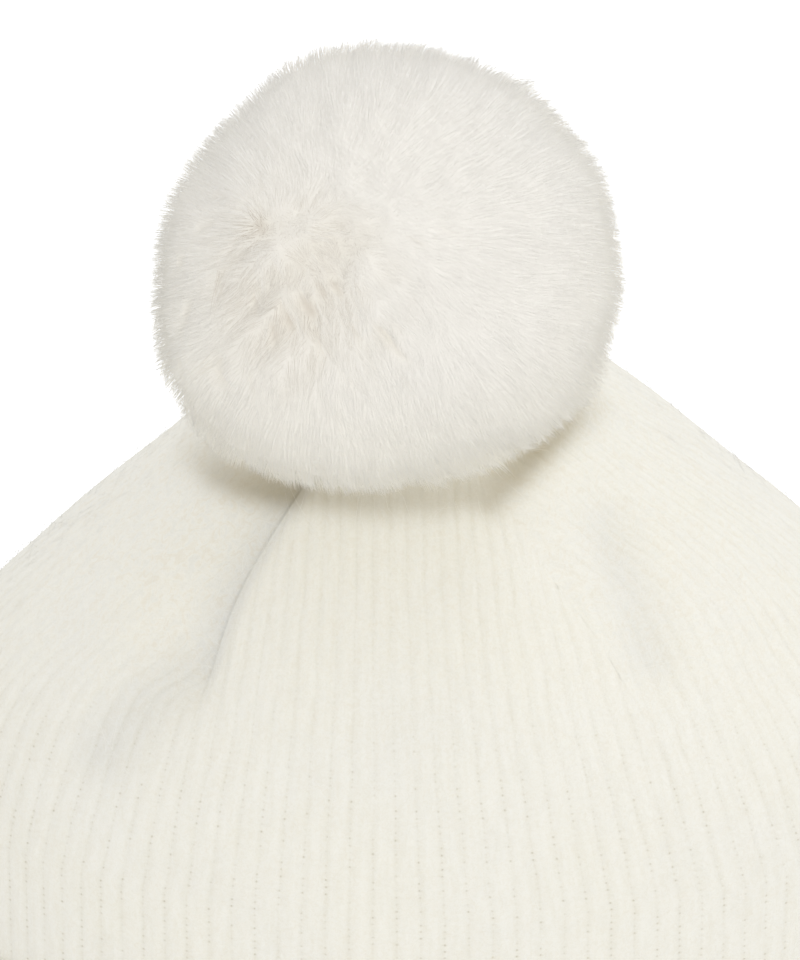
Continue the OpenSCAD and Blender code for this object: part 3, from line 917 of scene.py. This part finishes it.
pom = {
    "centre": 0.0452,           # above the tip, along the stud's axis
    "across": 0.0474,
    "upSlope": 0.0411,
    "downSlope": 0.0463,
    "dome": 0.0403,
    "swell": ((1, -0.0181, 0.0), (2, -0.0051, 0.0243), (3, 0.0101, -0.0337), (4, -0.0123, 0.0012)),
    "under": 2.3,
    "frontUnder": 2.8,
    "lift": 0.004,
    "frontLift": 0.002,
    "lumps": 0.0009,
    "bumps": 0.0004,
    "tufts": 0.0021,            # soft lumps where the fur is tousled
    "coat": 0.0028,             # from the skin to the ends of the fur
    "underCoat": 0.0012,
    "rest": 0.001,              # between the skin and the crown that it rests on
    "furRest": 0.0006,
    "mouth": (0.0114, 0.0078),  # radius and roof of the mouth that takes the disc
    "stud": 0.0075,             # room for the press stud
    "hollow": (0.0282, 0.0077, 0.03635, 0.0652),   # radius, foot, waist and top of the hollow for the stuffing
    "seen": 47.0,               # radius in the picture, millimetres
    "whorl": (-30.0, 5.5),      # as seen from the front, millimetres from the middle of the pom
    "tousled": (-20.0, -10.0),
    "tousledReach": 0.52,
    "skinGrid": (360, 190, 40),   # columns, rows outside and rows inside
}

# Places where the fur parts: across and up as seen from the front, length and width, millimetres, and strength
partings = (
    (-33.9, -23.9, 8.0, 2.0, 1.0), (-40.3, 5.7, 6.0, 0.9, 0.8), (-44.2, -1.8, 6.0, 0.9, 0.8),
    (-41.9, -12.5, 9.0, 1.1, 1.0), (-40.3, -22.3, 5.0, 0.9, 0.8), (-23.3, -14.7, 7.0, 1.2, 1.0),
    (-19.4, -12.9, 7.0, 1.2, 1.0), (-16.4, -9.6, 5.0, 0.8, 0.8), (-12.5, -9.6, 5.0, 0.8, 0.8),
    (-16.4, -20.7, 7.0, 0.9, 0.9), (-25.8, -18.0, 6.0, 0.9, 0.8), (-30.1, -10.8, 6.0, 0.8, 0.7),
    (-0.2, -21.5, 12.0, 0.9, 1.0), (-8.4, -18.8, 6.0, 0.7, 0.7), (-38.0, 12.3, 6.0, 0.7, 0.6),
    (-35.0, 1.0, 5.0, 0.8, 0.6), (-37.0, -6.5, 6.0, 0.8, 0.7), (-28.0, -27.0, 6.0, 0.7, 0.5),
    (-10.0, -28.0, 6.0, 0.7, 0.5), (6.0, 2.0, 6.0, 0.6, 0.4), (14.0, 4.0, 6.0, 0.6, 0.3),
    (-30.0, 15.5, 5.0, 0.6, 0.5), (-21.0, -4.0, 5.0, 0.7, 0.5),
)


def fromSeen(right, up):
    # a direction on the pom from its place in the picture, millimetres from the middle of the pom
    x, v = right / pom["seen"], up / pom["seen"]
    toward = math.sqrt(max(0.0, 1 - x * x - v * v))
    c, s = math.cos(photoTilt), math.sin(photoTilt)
    return pomAxes @ np.array((x, v * s - toward * c, v * c + toward * s))


def pomRadius(way):
    # distance from the middle of the pom to the ends of its fur, along unit directions
    x, y, z = way.T
    flat = np.hypot(x, y) + 1e-9
    front = ease(0.35 - 1.1 * y / flat)
    slope = np.where(y > 0, pom["upSlope"], pom["downSlope"])
    # straight up there is no way round the pom, so the least there only keeps the division sound
    disc = 1 / np.sqrt(np.maximum((x / flat / pom["across"]) ** 2 + (y / flat / slope) ** 2, 1e-12))
    turn = np.arctan2(y, x)
    disc = disc * (1 + sum(c * np.cos(n * turn) + d * np.sin(n * turn) for n, c, d in pom["swell"]))
    low = pom["lift"] + (pom["frontLift"] - pom["lift"]) * front
    power = np.where(z > 0, 2.0, pom["under"] + (pom["frontUnder"] - pom["under"]) * front)
    tall = np.where(z > 0, pom["dome"], pom["centre"] - low)
    return ((flat / disc) ** power + (np.abs(z) / tall) ** power) ** (-1 / power)


def onBall(turn, z):
    r = np.sqrt(1 - z * z)
    return np.stack((r * np.cos(turn), r * np.sin(turn), z), -1)


def spread(count, seed):
    # even directions over a ball, slightly shaken
    i = np.arange(count) + 0.5
    way = onBall(i * math.pi * (3 - math.sqrt(5)), 1 - 2 * i / count)
    return unit(way + np.random.default_rng(seed).normal(size=way.shape) * 1.2 / math.sqrt(count))


whorl, tousled, seenFrom = (fromSeen(*place) for place in (pom["whorl"], pom["tousled"], (0.0, 0.0)))


def fromWhorl(way):
    return np.linalg.norm(way - whorl, axis=-1)


def tousledShare(way):
    # strongest below the whorl, and lighter round the edge and at the back
    main = ease(1.35 - np.linalg.norm(way - tousled, axis=-1) / pom["tousledReach"])
    return np.maximum(main, 0.5 * ease((0.30 - way @ seenFrom) / 0.4))


def tuftNoise(way):
    return waveNoise(way, 0.3, 51, 10)


def furFlow(way, normal):
    # the fur is combed away from the whorl and hangs a little
    down = np.broadcast_to(pomAxes @ np.array((0, 0, -1.0)), way.shape)
    return unit(unit(tangent(way - whorl, normal)) + 0.4 * tangent(down, normal))


def partingLines():
    # those listed, and a few scattered over the back
    places = [(fromSeen(right, up), *rest) for right, up, *rest in partings]
    places += [(way, 6.0, 0.8, 0.5) for way in spread(60, 14) if way @ seenFrom < 0.15 and way[2] > -0.7]
    lines = []
    for centre, length, width, strength in places:
        along = furFlow(centre[None], centre[None])[0]
        lines.append((centre, along, np.cross(centre, along), length / 1000, width / 1000, strength))
    return lines


partLines = partingLines()


def partingPush(way, reach=0.046):
    # how strongly the fur is parted at each direction, and the way it is pushed
    total, push = np.zeros(len(way)), np.zeros((len(way), 3))
    for centre, along, aside, length, width, strength in partLines:
        offset = (way - centre) * reach
        a, d = offset @ along / length, offset @ aside
        near = strength * np.exp(-(2 * a) ** 4) * (way @ centre > 0.5)
        total = np.maximum(total, near * bell(d / width))
        push += (near * bell(d / (2.5 * width)) * np.sign(d))[:, None] * aside
    return total, push


def pomSkin(way, extra=0.0):
    lumps = pom["lumps"] * waveNoise(way, 0.9, 5) + pom["bumps"] * waveNoise(way, 0.22, 52)
    lumps += pom["tufts"] * tousledShare(way) * tuftNoise(way)
    coat = pom["coat"] - (pom["coat"] - pom["underCoat"]) * ease((-0.45 - way[:, 2]) / 0.3)
    return way * (pomRadius(way) + lumps - coat + extra)[:, None]


def skinNormal(way, step=0.03):
    side = unit(np.cross(way, np.where(np.abs(way[:, 2:]) < 0.9, (0, 0, 1.0), (1.0, 0, 0))))
    a, b = (pomSkin(unit(way + s * step)) - pomSkin(unit(way - s * step)) for s in (side, np.cross(way, side)))
    n = unit(np.cross(a, b))
    return n * np.sign((n * way).sum(-1, keepdims=True))


def crownHeights(size=75):
    # height of the crown over the plane of the tip, in squares of a millimetre about the stud's axis
    local = np.concatenate([(c["points"].reshape(-1, 3) - tipPoint) @ pomAxes.T for c in crown])
    grid = np.full((2 * size + 1, 2 * size + 1), -0.06)
    cell = np.rint(local[:, :2] * 1000).astype(int) + size
    inside = ((cell >= 0) & (cell <= 2 * size)).all(1)
    np.maximum.at(grid, tuple(cell[inside].T), local[inside, 2])
    x, y = np.mgrid[-size:size + 1, -size:size + 1]
    grid[np.hypot(x, y) < 10] = halfKnit
    return grid, size


heightGrid, heightSize = crownHeights()


def restOn(local, gap):
    # lifts what would sink into the crown
    cell = np.clip(np.rint(local[..., :2] * 1000).astype(int) + heightSize, 0, 2 * heightSize)
    local[..., 2] = np.maximum(local[..., 2], heightGrid[cell[..., 0], cell[..., 1]] + gap)
    return local


def makeSkin():
    # a closed shell: the fur side from the top down to the mouth, and the inside from the mouth back up
    around, over, within = pom["skinGrid"]
    radius, roof = pom["mouth"]
    turn = np.linspace(0, 2 * math.pi, around + 1)
    last = math.pi - math.atan(1.05 * radius / (pom["centre"] - pom["lift"]))
    polar = np.linspace(0, last, over + 1)[:, None]
    way = np.stack((np.sin(polar) * np.cos(turn), np.sin(polar) * np.sin(turn), np.cos(polar) + 0 * turn), -1)
    shape, way = way.shape, way.reshape(-1, 3)
    parted = partingPush(way)[0]
    skin = pomSkin(way, 0.0002 * waveNoise(way, 0.04, 21) - 0.0007 * parted) + (0, 0, pom["centre"])
    wide, foot, waist, top = pom["hollow"]
    low = math.sqrt(1 - (1.08 * radius / wide) ** 2)
    rows = [(radius, roof - 0.001), (radius, roof)]
    for t in np.linspace(-math.asin(low), math.pi / 2, within):
        rows.append((wide * math.cos(t), waist + math.sin(t) * (waist - foot if t < 0 else top - waist)))
    inner = np.array([[(r * math.cos(t), r * math.sin(t), z) for t in turn] for r, z in rows])
    points = np.concatenate((restOn(skin, pom["rest"]).reshape(shape), inner))
    tone = np.full(points.shape[:2], 0.75)
    # painted shade in the hollows between the tufts and in the partings; the skin is also darker where the fur is
    # tousled and round the whorl
    grey = np.clip(tousledShare(way) * (0.15 - 0.14 * tuftNoise(way)), 0, 0.22)
    grey += 0.25 * bell(fromWhorl(way) / 0.06)
    tone[:over + 1] = (0.93 - 0.16 * parted - grey).reshape(shape[:2])
    mesh, spot = gridMesh("pomSkin", fromPom(points))
    setValues(mesh, "shade", tone[spot])
    obj = addObject("pomSkin", closeUp(mesh), skinMat, "pom", ("fur_cover",))


def makeStuffing():
    # a lumpy ball of loose fibre
    wide, foot, waist, top = pom["hollow"]
    bm = bmesh.new()
    bmesh.ops.create_icosphere(bm, subdivisions=6, radius=1)
    mesh = toMesh(bm, bpy.data.meshes.new("stuffing"))
    way = unit(coordinates(mesh))
    dent = 0.985 - 0.02 * np.abs(waveNoise(way, 0.5, 61)) - 0.006 * np.abs(waveNoise(way, 0.12, 62))
    tall = np.where(way[:, 2] < 0, waist - foot, top - waist)
    local = way * dent[:, None] * np.stack((np.full_like(tall, wide), np.full_like(tall, wide), tall), -1)
    mesh.vertices.foreach_set("co", fromPom(local + (0, 0, waist)).ravel())
    mesh.update()
    addObject("stuffing", mesh, waddingMat, "pom", ("stuffing",))


plush = {
    "hairs": 58000,
    "pieces": 6,
    "length": 0.0044,
    "radius": 0.000050,
    "lean": 0.30,
    "spreadOut": 0.10,
    "locks": 1900,
    "clump": 0.68,
    "shade": 0.97,
}


def plushShape(way, parted, push):
    normal = skinNormal(way)
    flow = furFlow(way, normal)
    side = np.cross(normal, flow)
    near, share = fromWhorl(way), tousledShare(way)
    swing = 0.35 * waveNoise(way, 0.5, 8) + 0.2 * waveNoise(way, 0.12, 9)
    swing += dice.normal(size=len(way)) * (plush["spreadOut"] + 0.4 * bell(near / 0.07))
    flow = swung(flow, side, swing) + 0.5 * push
    lean = plush["lean"] * (1 - 0.3 * bell(near / 0.1)) + 0.05 * dice.normal(size=len(way))
    lean = np.clip(lean + 0.45 * share, 0.05, 0.92)[:, None]
    length = plush["length"] * (1 + 0.07 * dice.normal(size=len(way)) + 0.10 * waveNoise(way, 0.16, 10))
    length = (length * (1 + 0.3 * share) * (1 - 0.55 * ease((-0.62 - way[:, 2]) / 0.2)))[:, None]
    root = pomSkin(way, -0.0003 - 0.002 * parted)
    bend = root + length * 0.5 * (normal * 0.92 + flow * 0.3)
    end = bend + length * 0.52 * (normal * (np.sqrt(1 - lean ** 2) - 0.15) + flow * (lean + 0.12))
    return root, bend, end, normal


def plushPaths():
    # a short even pile over the whole pom, drawn into locks where it is tousled; none grows in a parting
    way = spread(plush["hairs"], 3)
    parted, push = partingPush(way)
    keep = dice.uniform(0.25, 0.8, len(way)) > parted
    way, parted, push = way[keep], parted[keep], push[keep]
    root, bend, end, normal = plushShape(way, parted, push)
    locks = spread(plush["locks"], 6)
    lockBend, lockEnd = plushShape(locks, *partingPush(locks))[1:3]
    tree = kdtree.KDTree(len(locks))
    for i, place in enumerate(locks):
        tree.insert(place, i)
    tree.balance()
    lock, away = (np.array(found) for found in zip(*(tree.find(w)[1:] for w in way)))
    away = away * math.sqrt(plush["locks"]) / 2
    near, share = fromWhorl(way), tousledShare(way)
    draw = (plush["clump"] * share + 0.06)[:, None]
    end = end + (lockEnd[lock] - end) * draw
    bend = bend + (lockBend[lock] - bend) * draw * 0.4
    # painted shade between the locks, in the hollows between the tufts and in the partings; the fur is also darker
    # where it is tousled and round the whorl
    grey = share * (0.31 * share + 0.06 * away ** 2) + 0.12 * bell(near / 0.45)
    grey -= share * (0.03 * np.random.default_rng(7).normal(size=len(locks))[lock] + 0.16 * tuftNoise(way))
    shade = plush["shade"] + 0.012 * dice.normal(size=len(way)) - 0.25 * parted - np.clip(grey, -0.02, 0.29)
    shade -= 0.30 * bell(near / 0.06)
    return np.stack((root, bend, end), 1), normal, shade


wisps = {
    "count": 150,
    "hairs": 14,
    "length": 0.0066,
    "radius": 0.00007,
    "gather": 0.6,
    "swing": 0.25,
    "spread": 0.0013,
    "wander": 0.0003,
    "shade": 0.88,
}


def wispPaths():
    # longer hairs drawn together in wisps where the fur is tousled
    way = spread(wisps["count"] * 12, 4)
    way = way[dice.uniform(size=len(way)) < tousledShare(way) * 0.9]
    normal = skinNormal(way)
    flow = furFlow(way, normal)
    swing = 0.3 * waveNoise(way, 0.3, 11) + dice.normal(size=len(way)) * wisps["swing"] * tousledShare(way)
    parted, push = partingPush(way)
    flow = swung(flow, np.cross(normal, flow), swing) + 0.5 * push
    side = np.cross(normal, flow)
    root = pomSkin(way, 0.0002)
    up = np.clip(0.22 + 0.12 * dice.normal(size=len(way)), -0.1, 0.7)[:, None]
    length = (wisps["length"] * dice.uniform(0.7, 1.2, len(way)))[:, None]
    bend = length * 0.45 * (normal * 0.55 + flow * 0.8)
    end = bend + length * 0.6 * (normal * up + flow * np.sqrt(1 - up ** 2))
    # the hairs of each wisp
    many = (len(way), wisps["hairs"])
    turn = dice.uniform(0, 2 * math.pi, many)
    out = np.sqrt(dice.uniform(0, 1, many)) * wisps["spread"]
    shift = side[:, None] * (out * np.cos(turn))[..., None] + flow[:, None] * (1.6 * out * np.sin(turn))[..., None]
    stretch = (1 + 0.2 * dice.normal(size=many))[..., None]
    wander = dice.normal(size=(*many, 3)) * wisps["wander"] - shift * wisps["gather"]
    root = root[:, None] + shift
    paths = np.stack((
        root,
        root + bend[:, None] * stretch + wander * 0.4,
        root + end[:, None] * stretch + wander), 2)
    # painted shade in the partings and in the hollows between the tufts
    shade = np.repeat(wisps["shade"] - 0.3 * parted + 0.1 * tuftNoise(way), wisps["hairs"])
    shade += 0.03 * dice.normal(size=len(shade))
    return paths.reshape(-1, 3, 3), np.repeat(normal, wisps["hairs"], axis=0), shade


skirt = {
    "hairs": 6000,
    "length": 0.0085,
    "radius": 0.000085,
    "shade": 0.97,
    "zone": (-0.965, -0.84),
    "swing": 0.3,
    "out": (-0.8, 0.0),
    "down": 0.75,
}
strays = {
    "hairs": 60,
    "length": 0.009,
    "radius": 0.00004,
    "shade": 0.92,
    "zone": (-0.80, -0.66),
    "swing": 1.0,
    "out": (0.7, 0.7),
    "down": 0.7,
}


def hangingPaths(settings):
    # fur that hangs from the underside of the pom
    one = (settings["hairs"], 1)
    turn = dice.uniform(0, 2 * math.pi, settings["hairs"])
    way = onBall(turn, dice.uniform(*settings["zone"], settings["hairs"]))
    out = unit(way * (1, 1, 0))
    side = np.stack((-out[:, 1], out[:, 0], np.zeros(len(out))), -1)
    length = settings["length"] * dice.uniform(0.5, 1.2, one)
    root = pomSkin(way)
    aside = side * dice.normal(size=one) * settings["swing"]
    aside = aside + out * dice.uniform(*settings["out"], one)
    down = np.array((0, 0, settings["down"]))
    bend = root + length * 0.5 * (aside - 0.6 * down)
    end = root + length * (aside + side * dice.normal(size=one) * 0.4 - down)
    shade = settings["shade"] * (1 + 0.05 * dice.normal(size=len(way)))
    return np.stack((root, bend, end), 1), skinNormal(way), shade


def addFur(name, settings, paths, normal, shade):
    # none grows in the mouth or reaches the stud, and fur that would sink into the crown lies on it instead
    paths = paths + (0, 0, pom["centre"])
    flat = np.hypot(paths[..., 0], paths[..., 1])
    keep = (flat[:, 0] > pom["mouth"][0] + pom["furRest"]) & (flat.min(1) > pom["stud"])
    keep |= paths[:, 0, 2] > pom["centre"]
    paths, normal, shade = restOn(paths[keep], pom["furRest"]), normal[keep], shade[keep]
    # painted shade on fur close to the crown, warmer like the crown
    x, y, high = paths[:, 0].T
    shade = np.clip(shade - 0.10 * ease(1 - high / 0.034) - 0.12 * ease(1 - high / 0.007), 0.2, 1.0)
    radius = settings["radius"] * dice.uniform(0.7, 1.25, len(paths))
    world, facing = fromPom(paths), normal @ pomAxes
    pieces = settings.get("pieces", 1)
    for k, mine in enumerate(np.array_split(np.argsort(np.arctan2(y, x)), pieces)):
        label = name if pieces == 1 else "%s%d" % (name, k + 1)
        addStrands(label, world[mine], radius[mine], shade[mine], facing[mine], 0.5, furMat, "pom")
    print(name, len(paths), "hairs")


makeAngora()
makeSkin()
makeStuffing()
addFur("plush", plush, *plushPaths())
addFur("wisps", wisps, *wispPaths())
addFur("skirt", skirt, *hangingPaths(skirt))
addFur("strays", strays, *hangingPaths(strays))
print("pom made")


# Sewing: twisted thread, gathered knit and felt

sewing = {
    "ridge": 0.0012,          # radius of the yarn in the seams
    "ridgeGap": 0.0002,
    "ridgeLay": 0.006,
    "crease": 0.0018,
    "dart": (0.4, 0.9),       # shares of the crown between which the darts are sewn
    "thread": 0.0006,
    "threadLay": 0.0024,
    "stitch": 0.0003,
    "stitchLay": 0.0008,
    "stitchRing": 0.006,
    "stitchBow": 0.0009,
    "pleats": 7,
    "pleatDepth": 0.0006,
    "pleatFrom": 0.0062,
    # discs: radius, lower face, upper face and rounding of the edge
    "tipDisc": (0.00915, -halfKnit, halfKnit, 0.0010),
    "patch": (0.006, -0.003, -0.0018, 0.0003),
    "base": (0.011, 0.0065, 0.0077, 0.0003),
}


def addCord(name, node, body, radius, lay, paths, plies=2, sides=12):
    # each path gives its points and the way that its section stands up; the plies turn once in each lay
    bm = bmesh.new()
    for points, up, closed in paths:
        way = unit(np.gradient(points, axis=0))
        if closed:
            way[0] = way[-1] = unit(points[1] - points[-2])
        side = unit(np.cross(way, up))
        rise = np.cross(side, way)
        length = runLength(points)
        turns = max(1, round(length[-1] / lay)) if closed else length[-1] / lay
        a = np.linspace(0, 2 * math.pi, sides + 1)[None, :]
        lobe = np.abs(np.cos(plies / 2 * (a - 2 * math.pi * turns * length[:, None] / length[-1])))
        out = side[:, None] * np.cos(a)[..., None] + rise[:, None] * np.sin(a)[..., None]
        bm.from_mesh(closeUp(gridMesh("ply", points[:, None] + radius * (0.80 + 0.20 * lobe)[..., None] * out)[0]))
    addObject(name, toMesh(bm, bpy.data.meshes.new(name)), threadMat, body, (node,))


def addRing(name, node, body, radius, height):
    turn = np.linspace(0, 2 * math.pi, 181)
    ring = fromPom(np.stack((radius * np.cos(turn), radius * np.sin(turn), np.full_like(turn, height)), -1))
    addCord(name, node, body, sewing["thread"], sewing["threadLay"], [(ring, pomAxes[2], True)])


def addStitches(name, node, body, height, sign):
    bow = np.linspace(0, math.pi, 25)
    r = sewing["stitchRing"] + sewing["stitchBow"] * np.cos(bow)
    z = height + sign * sewing["stitchBow"] * np.sin(bow)
    paths = []
    for turn in np.arange(4) * math.pi / 2:
        c, s = math.cos(turn), math.sin(turn)
        paths.append((fromPom(np.stack((r * c, r * s, z), -1)), np.array((-s, c, 0)) @ pomAxes, False))
    addCord(name, node, body, sewing["stitch"], sewing["stitchLay"], paths)


def addTurned(name, node, body, material, disc, height, count=96):
    # a disc about the stud's axis with a rounded edge; height(radius, turn, z) lifts or lowers its faces
    radius, low, high, edge = disc
    face = [(radius - edge) * k / 12 for k in range(12)]
    rows = [(r, low) for r in face]
    for t in np.linspace(-math.pi / 2, math.pi / 2, 9):
        rows.append((radius - edge + edge * math.cos(t), (low + high) / 2 + (high - low) / 2 * math.sin(t)))
    rows += [(r, high) for r in reversed(face)]
    turn = np.linspace(0, 2 * math.pi, count + 1)
    r, z = (np.array(p)[:, None] * np.ones_like(turn) for p in zip(*rows))
    mesh, spot = gridMesh(name, fromPom(np.stack((r * np.cos(turn), r * np.sin(turn), z + height(r, turn, z)), -1)))
    ribs = np.broadcast_to(turn * sewing["pleats"] / math.pi, r.shape)
    setUv(mesh, np.stack((ribs, (r + z) / rib["course"]), -1)[spot])
    addObject(name, closeUp(mesh), material, body, (node,))


def feltUneven(r, turn, z):
    flat = np.stack((r * np.cos(turn), r * np.sin(turn), z), -1).reshape(-1, 3)
    return (0.00005 * waveNoise(flat, 0.004, 71)).reshape(r.shape)


def tipGathers(r, turn, z):
    # pleats that run out from under the stud to the edge of the tip
    pleat = np.abs(np.sin(sewing["pleats"] * turn)) ** 0.8 - 1
    return np.sign(z) * sewing["pleatDepth"] * pleat * ease((r - sewing["pleatFrom"]) / 0.002)


def makeSewing():
    ridge, gap, lay = sewing["ridge"], sewing["ridgeGap"], sewing["ridgeLay"]
    q = np.linspace(*sewing["dart"], 120)
    darts = []
    for a in np.radians(dartAngles(q)[:4]):
        normal = surfaceNormal(q, a)
        darts.append((crownPoint(q, a, -halfKnit - sewing["crease"]) - (ridge + gap) * normal, normal, False))
    addCord("dartSeams", "dart_seams", "hat", ridge, lay, darts)
    a, off = math.radians(hat["dartRight"]), -halfKnit - ridge - gap / 2
    z = np.linspace(rimHeight, hat["crownBase"], 140)
    foot = ((hat["halfWidth"] + off) * math.cos(a), (hat["halfDepth"] + off) * math.sin(a), 0.0)
    line = np.array(foot) + z[:, None] * (0, 0, 1.0)
    addCord("backSeam", "back_seam", "hat", ridge, lay, [(line, (math.cos(a), math.sin(a), 0.0), False)])
    addRing("tipThread", "tip_thread", "stud", 0.0069, -0.0024)
    addRing("gatherThread", "gather_thread", "pom", 0.0101, 0.0059)
    addStitches("studStitches", "stud_stitches", "stud", 0.0021, 1)
    addStitches("socketStitches", "socket_stitches", "pom", 0.0062, -1)
    addTurned("gatheredTip", "gathered_tip", "stud", knitMat, sewing["tipDisc"], tipGathers, 168)
    addTurned("innerPatch", "inner_patch", "stud", feltMat, sewing["patch"], feltUneven)
    addTurned("baseDisc", "base_disc", "pom", feltMat, sewing["base"], feltUneven)
    print("sewing made")


makeSewing()

# The metal of the press stud keeps its CAD shape and gets its finish
for node in ("snap_stud", "socket_spring", "snap_socket"):
    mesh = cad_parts[node].data
    mesh.materials.clear()
    mesh.materials.append(nickelMat)


# Studio

studio = {
    "floor": 3.0,
    "floorTone": 0.9,
    "floorGlow": 0.6,
    "world": 0.78,
    "aim": (0, 0, 0.15),
    "lamps": (
        # name, place, size and power
        ("key", (0.5, -1.5, 1.1), 1.0, 2.6),
        ("front", (0.0, -1.9, 0.1), 1.0, 6.0),
        ("left", (-1.6, -0.5, 0.8), 1.2, 0.5),
        ("top", (0.5, 0.4, 1.8), 0.8, 4.6),
        ("right", (1.7, 0.0, 0.9), 1.2, 0.9),
        ("rear", (0.0, 1.8, 1.2), 1.2, 3.4),
    ),
}


def seenRay(tree):
    ray = addNode(tree, "LightPath", {}).outputs
    return calc(tree, "MAXIMUM", ray["Is Camera Ray"], ray["Is Glossy Ray"])


def lookAlong(obj, way):
    obj.rotation_euler = way.to_track_quat("-Z", "Y").to_euler()


def makeFloor():
    bm = bmesh.new()
    bmesh.ops.create_grid(bm, x_segments=1, y_segments=1, size=studio["floor"])
    mesh = toMesh(bm, bpy.data.meshes.new("floor"))
    obj = linkObject("floor", mesh)
    mat, tree = newMaterial("paleFloor")
    glow = mix(tree, seenRay(tree), (0, 0, 0), (studio["floorGlow"],) * 3, "MIX")
    mesh.materials.append(finish(
        mat, 0.9, 0.5, BaseColor=(studio["floorTone"],) * 3, EmissionColor=glow, EmissionStrength=1.0))


def makeWorld():
    world = bpy.data.worlds.new("studio")
    bpy.context.scene.world = world
    world.use_nodes = True
    tree = world.node_tree
    strength = calc(tree, "MULTIPLY_ADD", seenRay(tree), 1.0 - studio["world"], studio["world"])
    feed(tree, tree.nodes["Background"], {"Color": white, "Strength": strength})


def addLamp(name, place, size, power):
    data = bpy.data.lights.new(name, "AREA")
    data.shape, data.size, data.energy = "DISK", size, power
    obj = linkObject(name, data)
    obj.location = place
    lookAlong(obj, Vector(studio["aim"]) - Vector(place))


makeFloor()
makeWorld()
for lamp in studio["lamps"]:
    addLamp(*lamp)
print("studio made")

photoCamera = {
    "distance": 1.6,             # from the tip
    "pixel": 0.0002045,          # size of a photo pixel at the tip
    "tipPixel": (391, 322),      # where the tip lies in the photo, behind the pom
    "size": (800, 960),
}


def makeCamera():
    wide, tall = photoCamera["size"]
    data = bpy.data.cameras.new("photoCamera")
    data.sensor_width = 36
    data.lens = data.sensor_width * photoCamera["distance"] / (photoCamera["pixel"] * tall)
    obj = linkObject("photoCamera", data)
    c, s = math.cos(photoTilt), math.sin(photoTilt)
    forward, up = Vector((0, c, -s)), Vector((0, s, c))
    right, high = photoCamera["tipPixel"][0] - wide / 2, tall / 2 - photoCamera["tipPixel"][1]
    aim = tip - photoCamera["pixel"] * (Vector((right, 0, 0)) + up * high)
    obj.location = aim - forward * photoCamera["distance"]
    lookAlong(obj, forward)
    bpy.context.scene.camera = obj


makeCamera()
bpy.context.scene.view_settings.view_transform = "Standard"

counted = {o.name: sum(len(f.vertices) - 2 for f in o.data.polygons) for o in bpy.data.objects if o.type == "MESH"}
print("triangles", sum(counted.values()), {k: v for k, v in counted.items() if v > 20000})
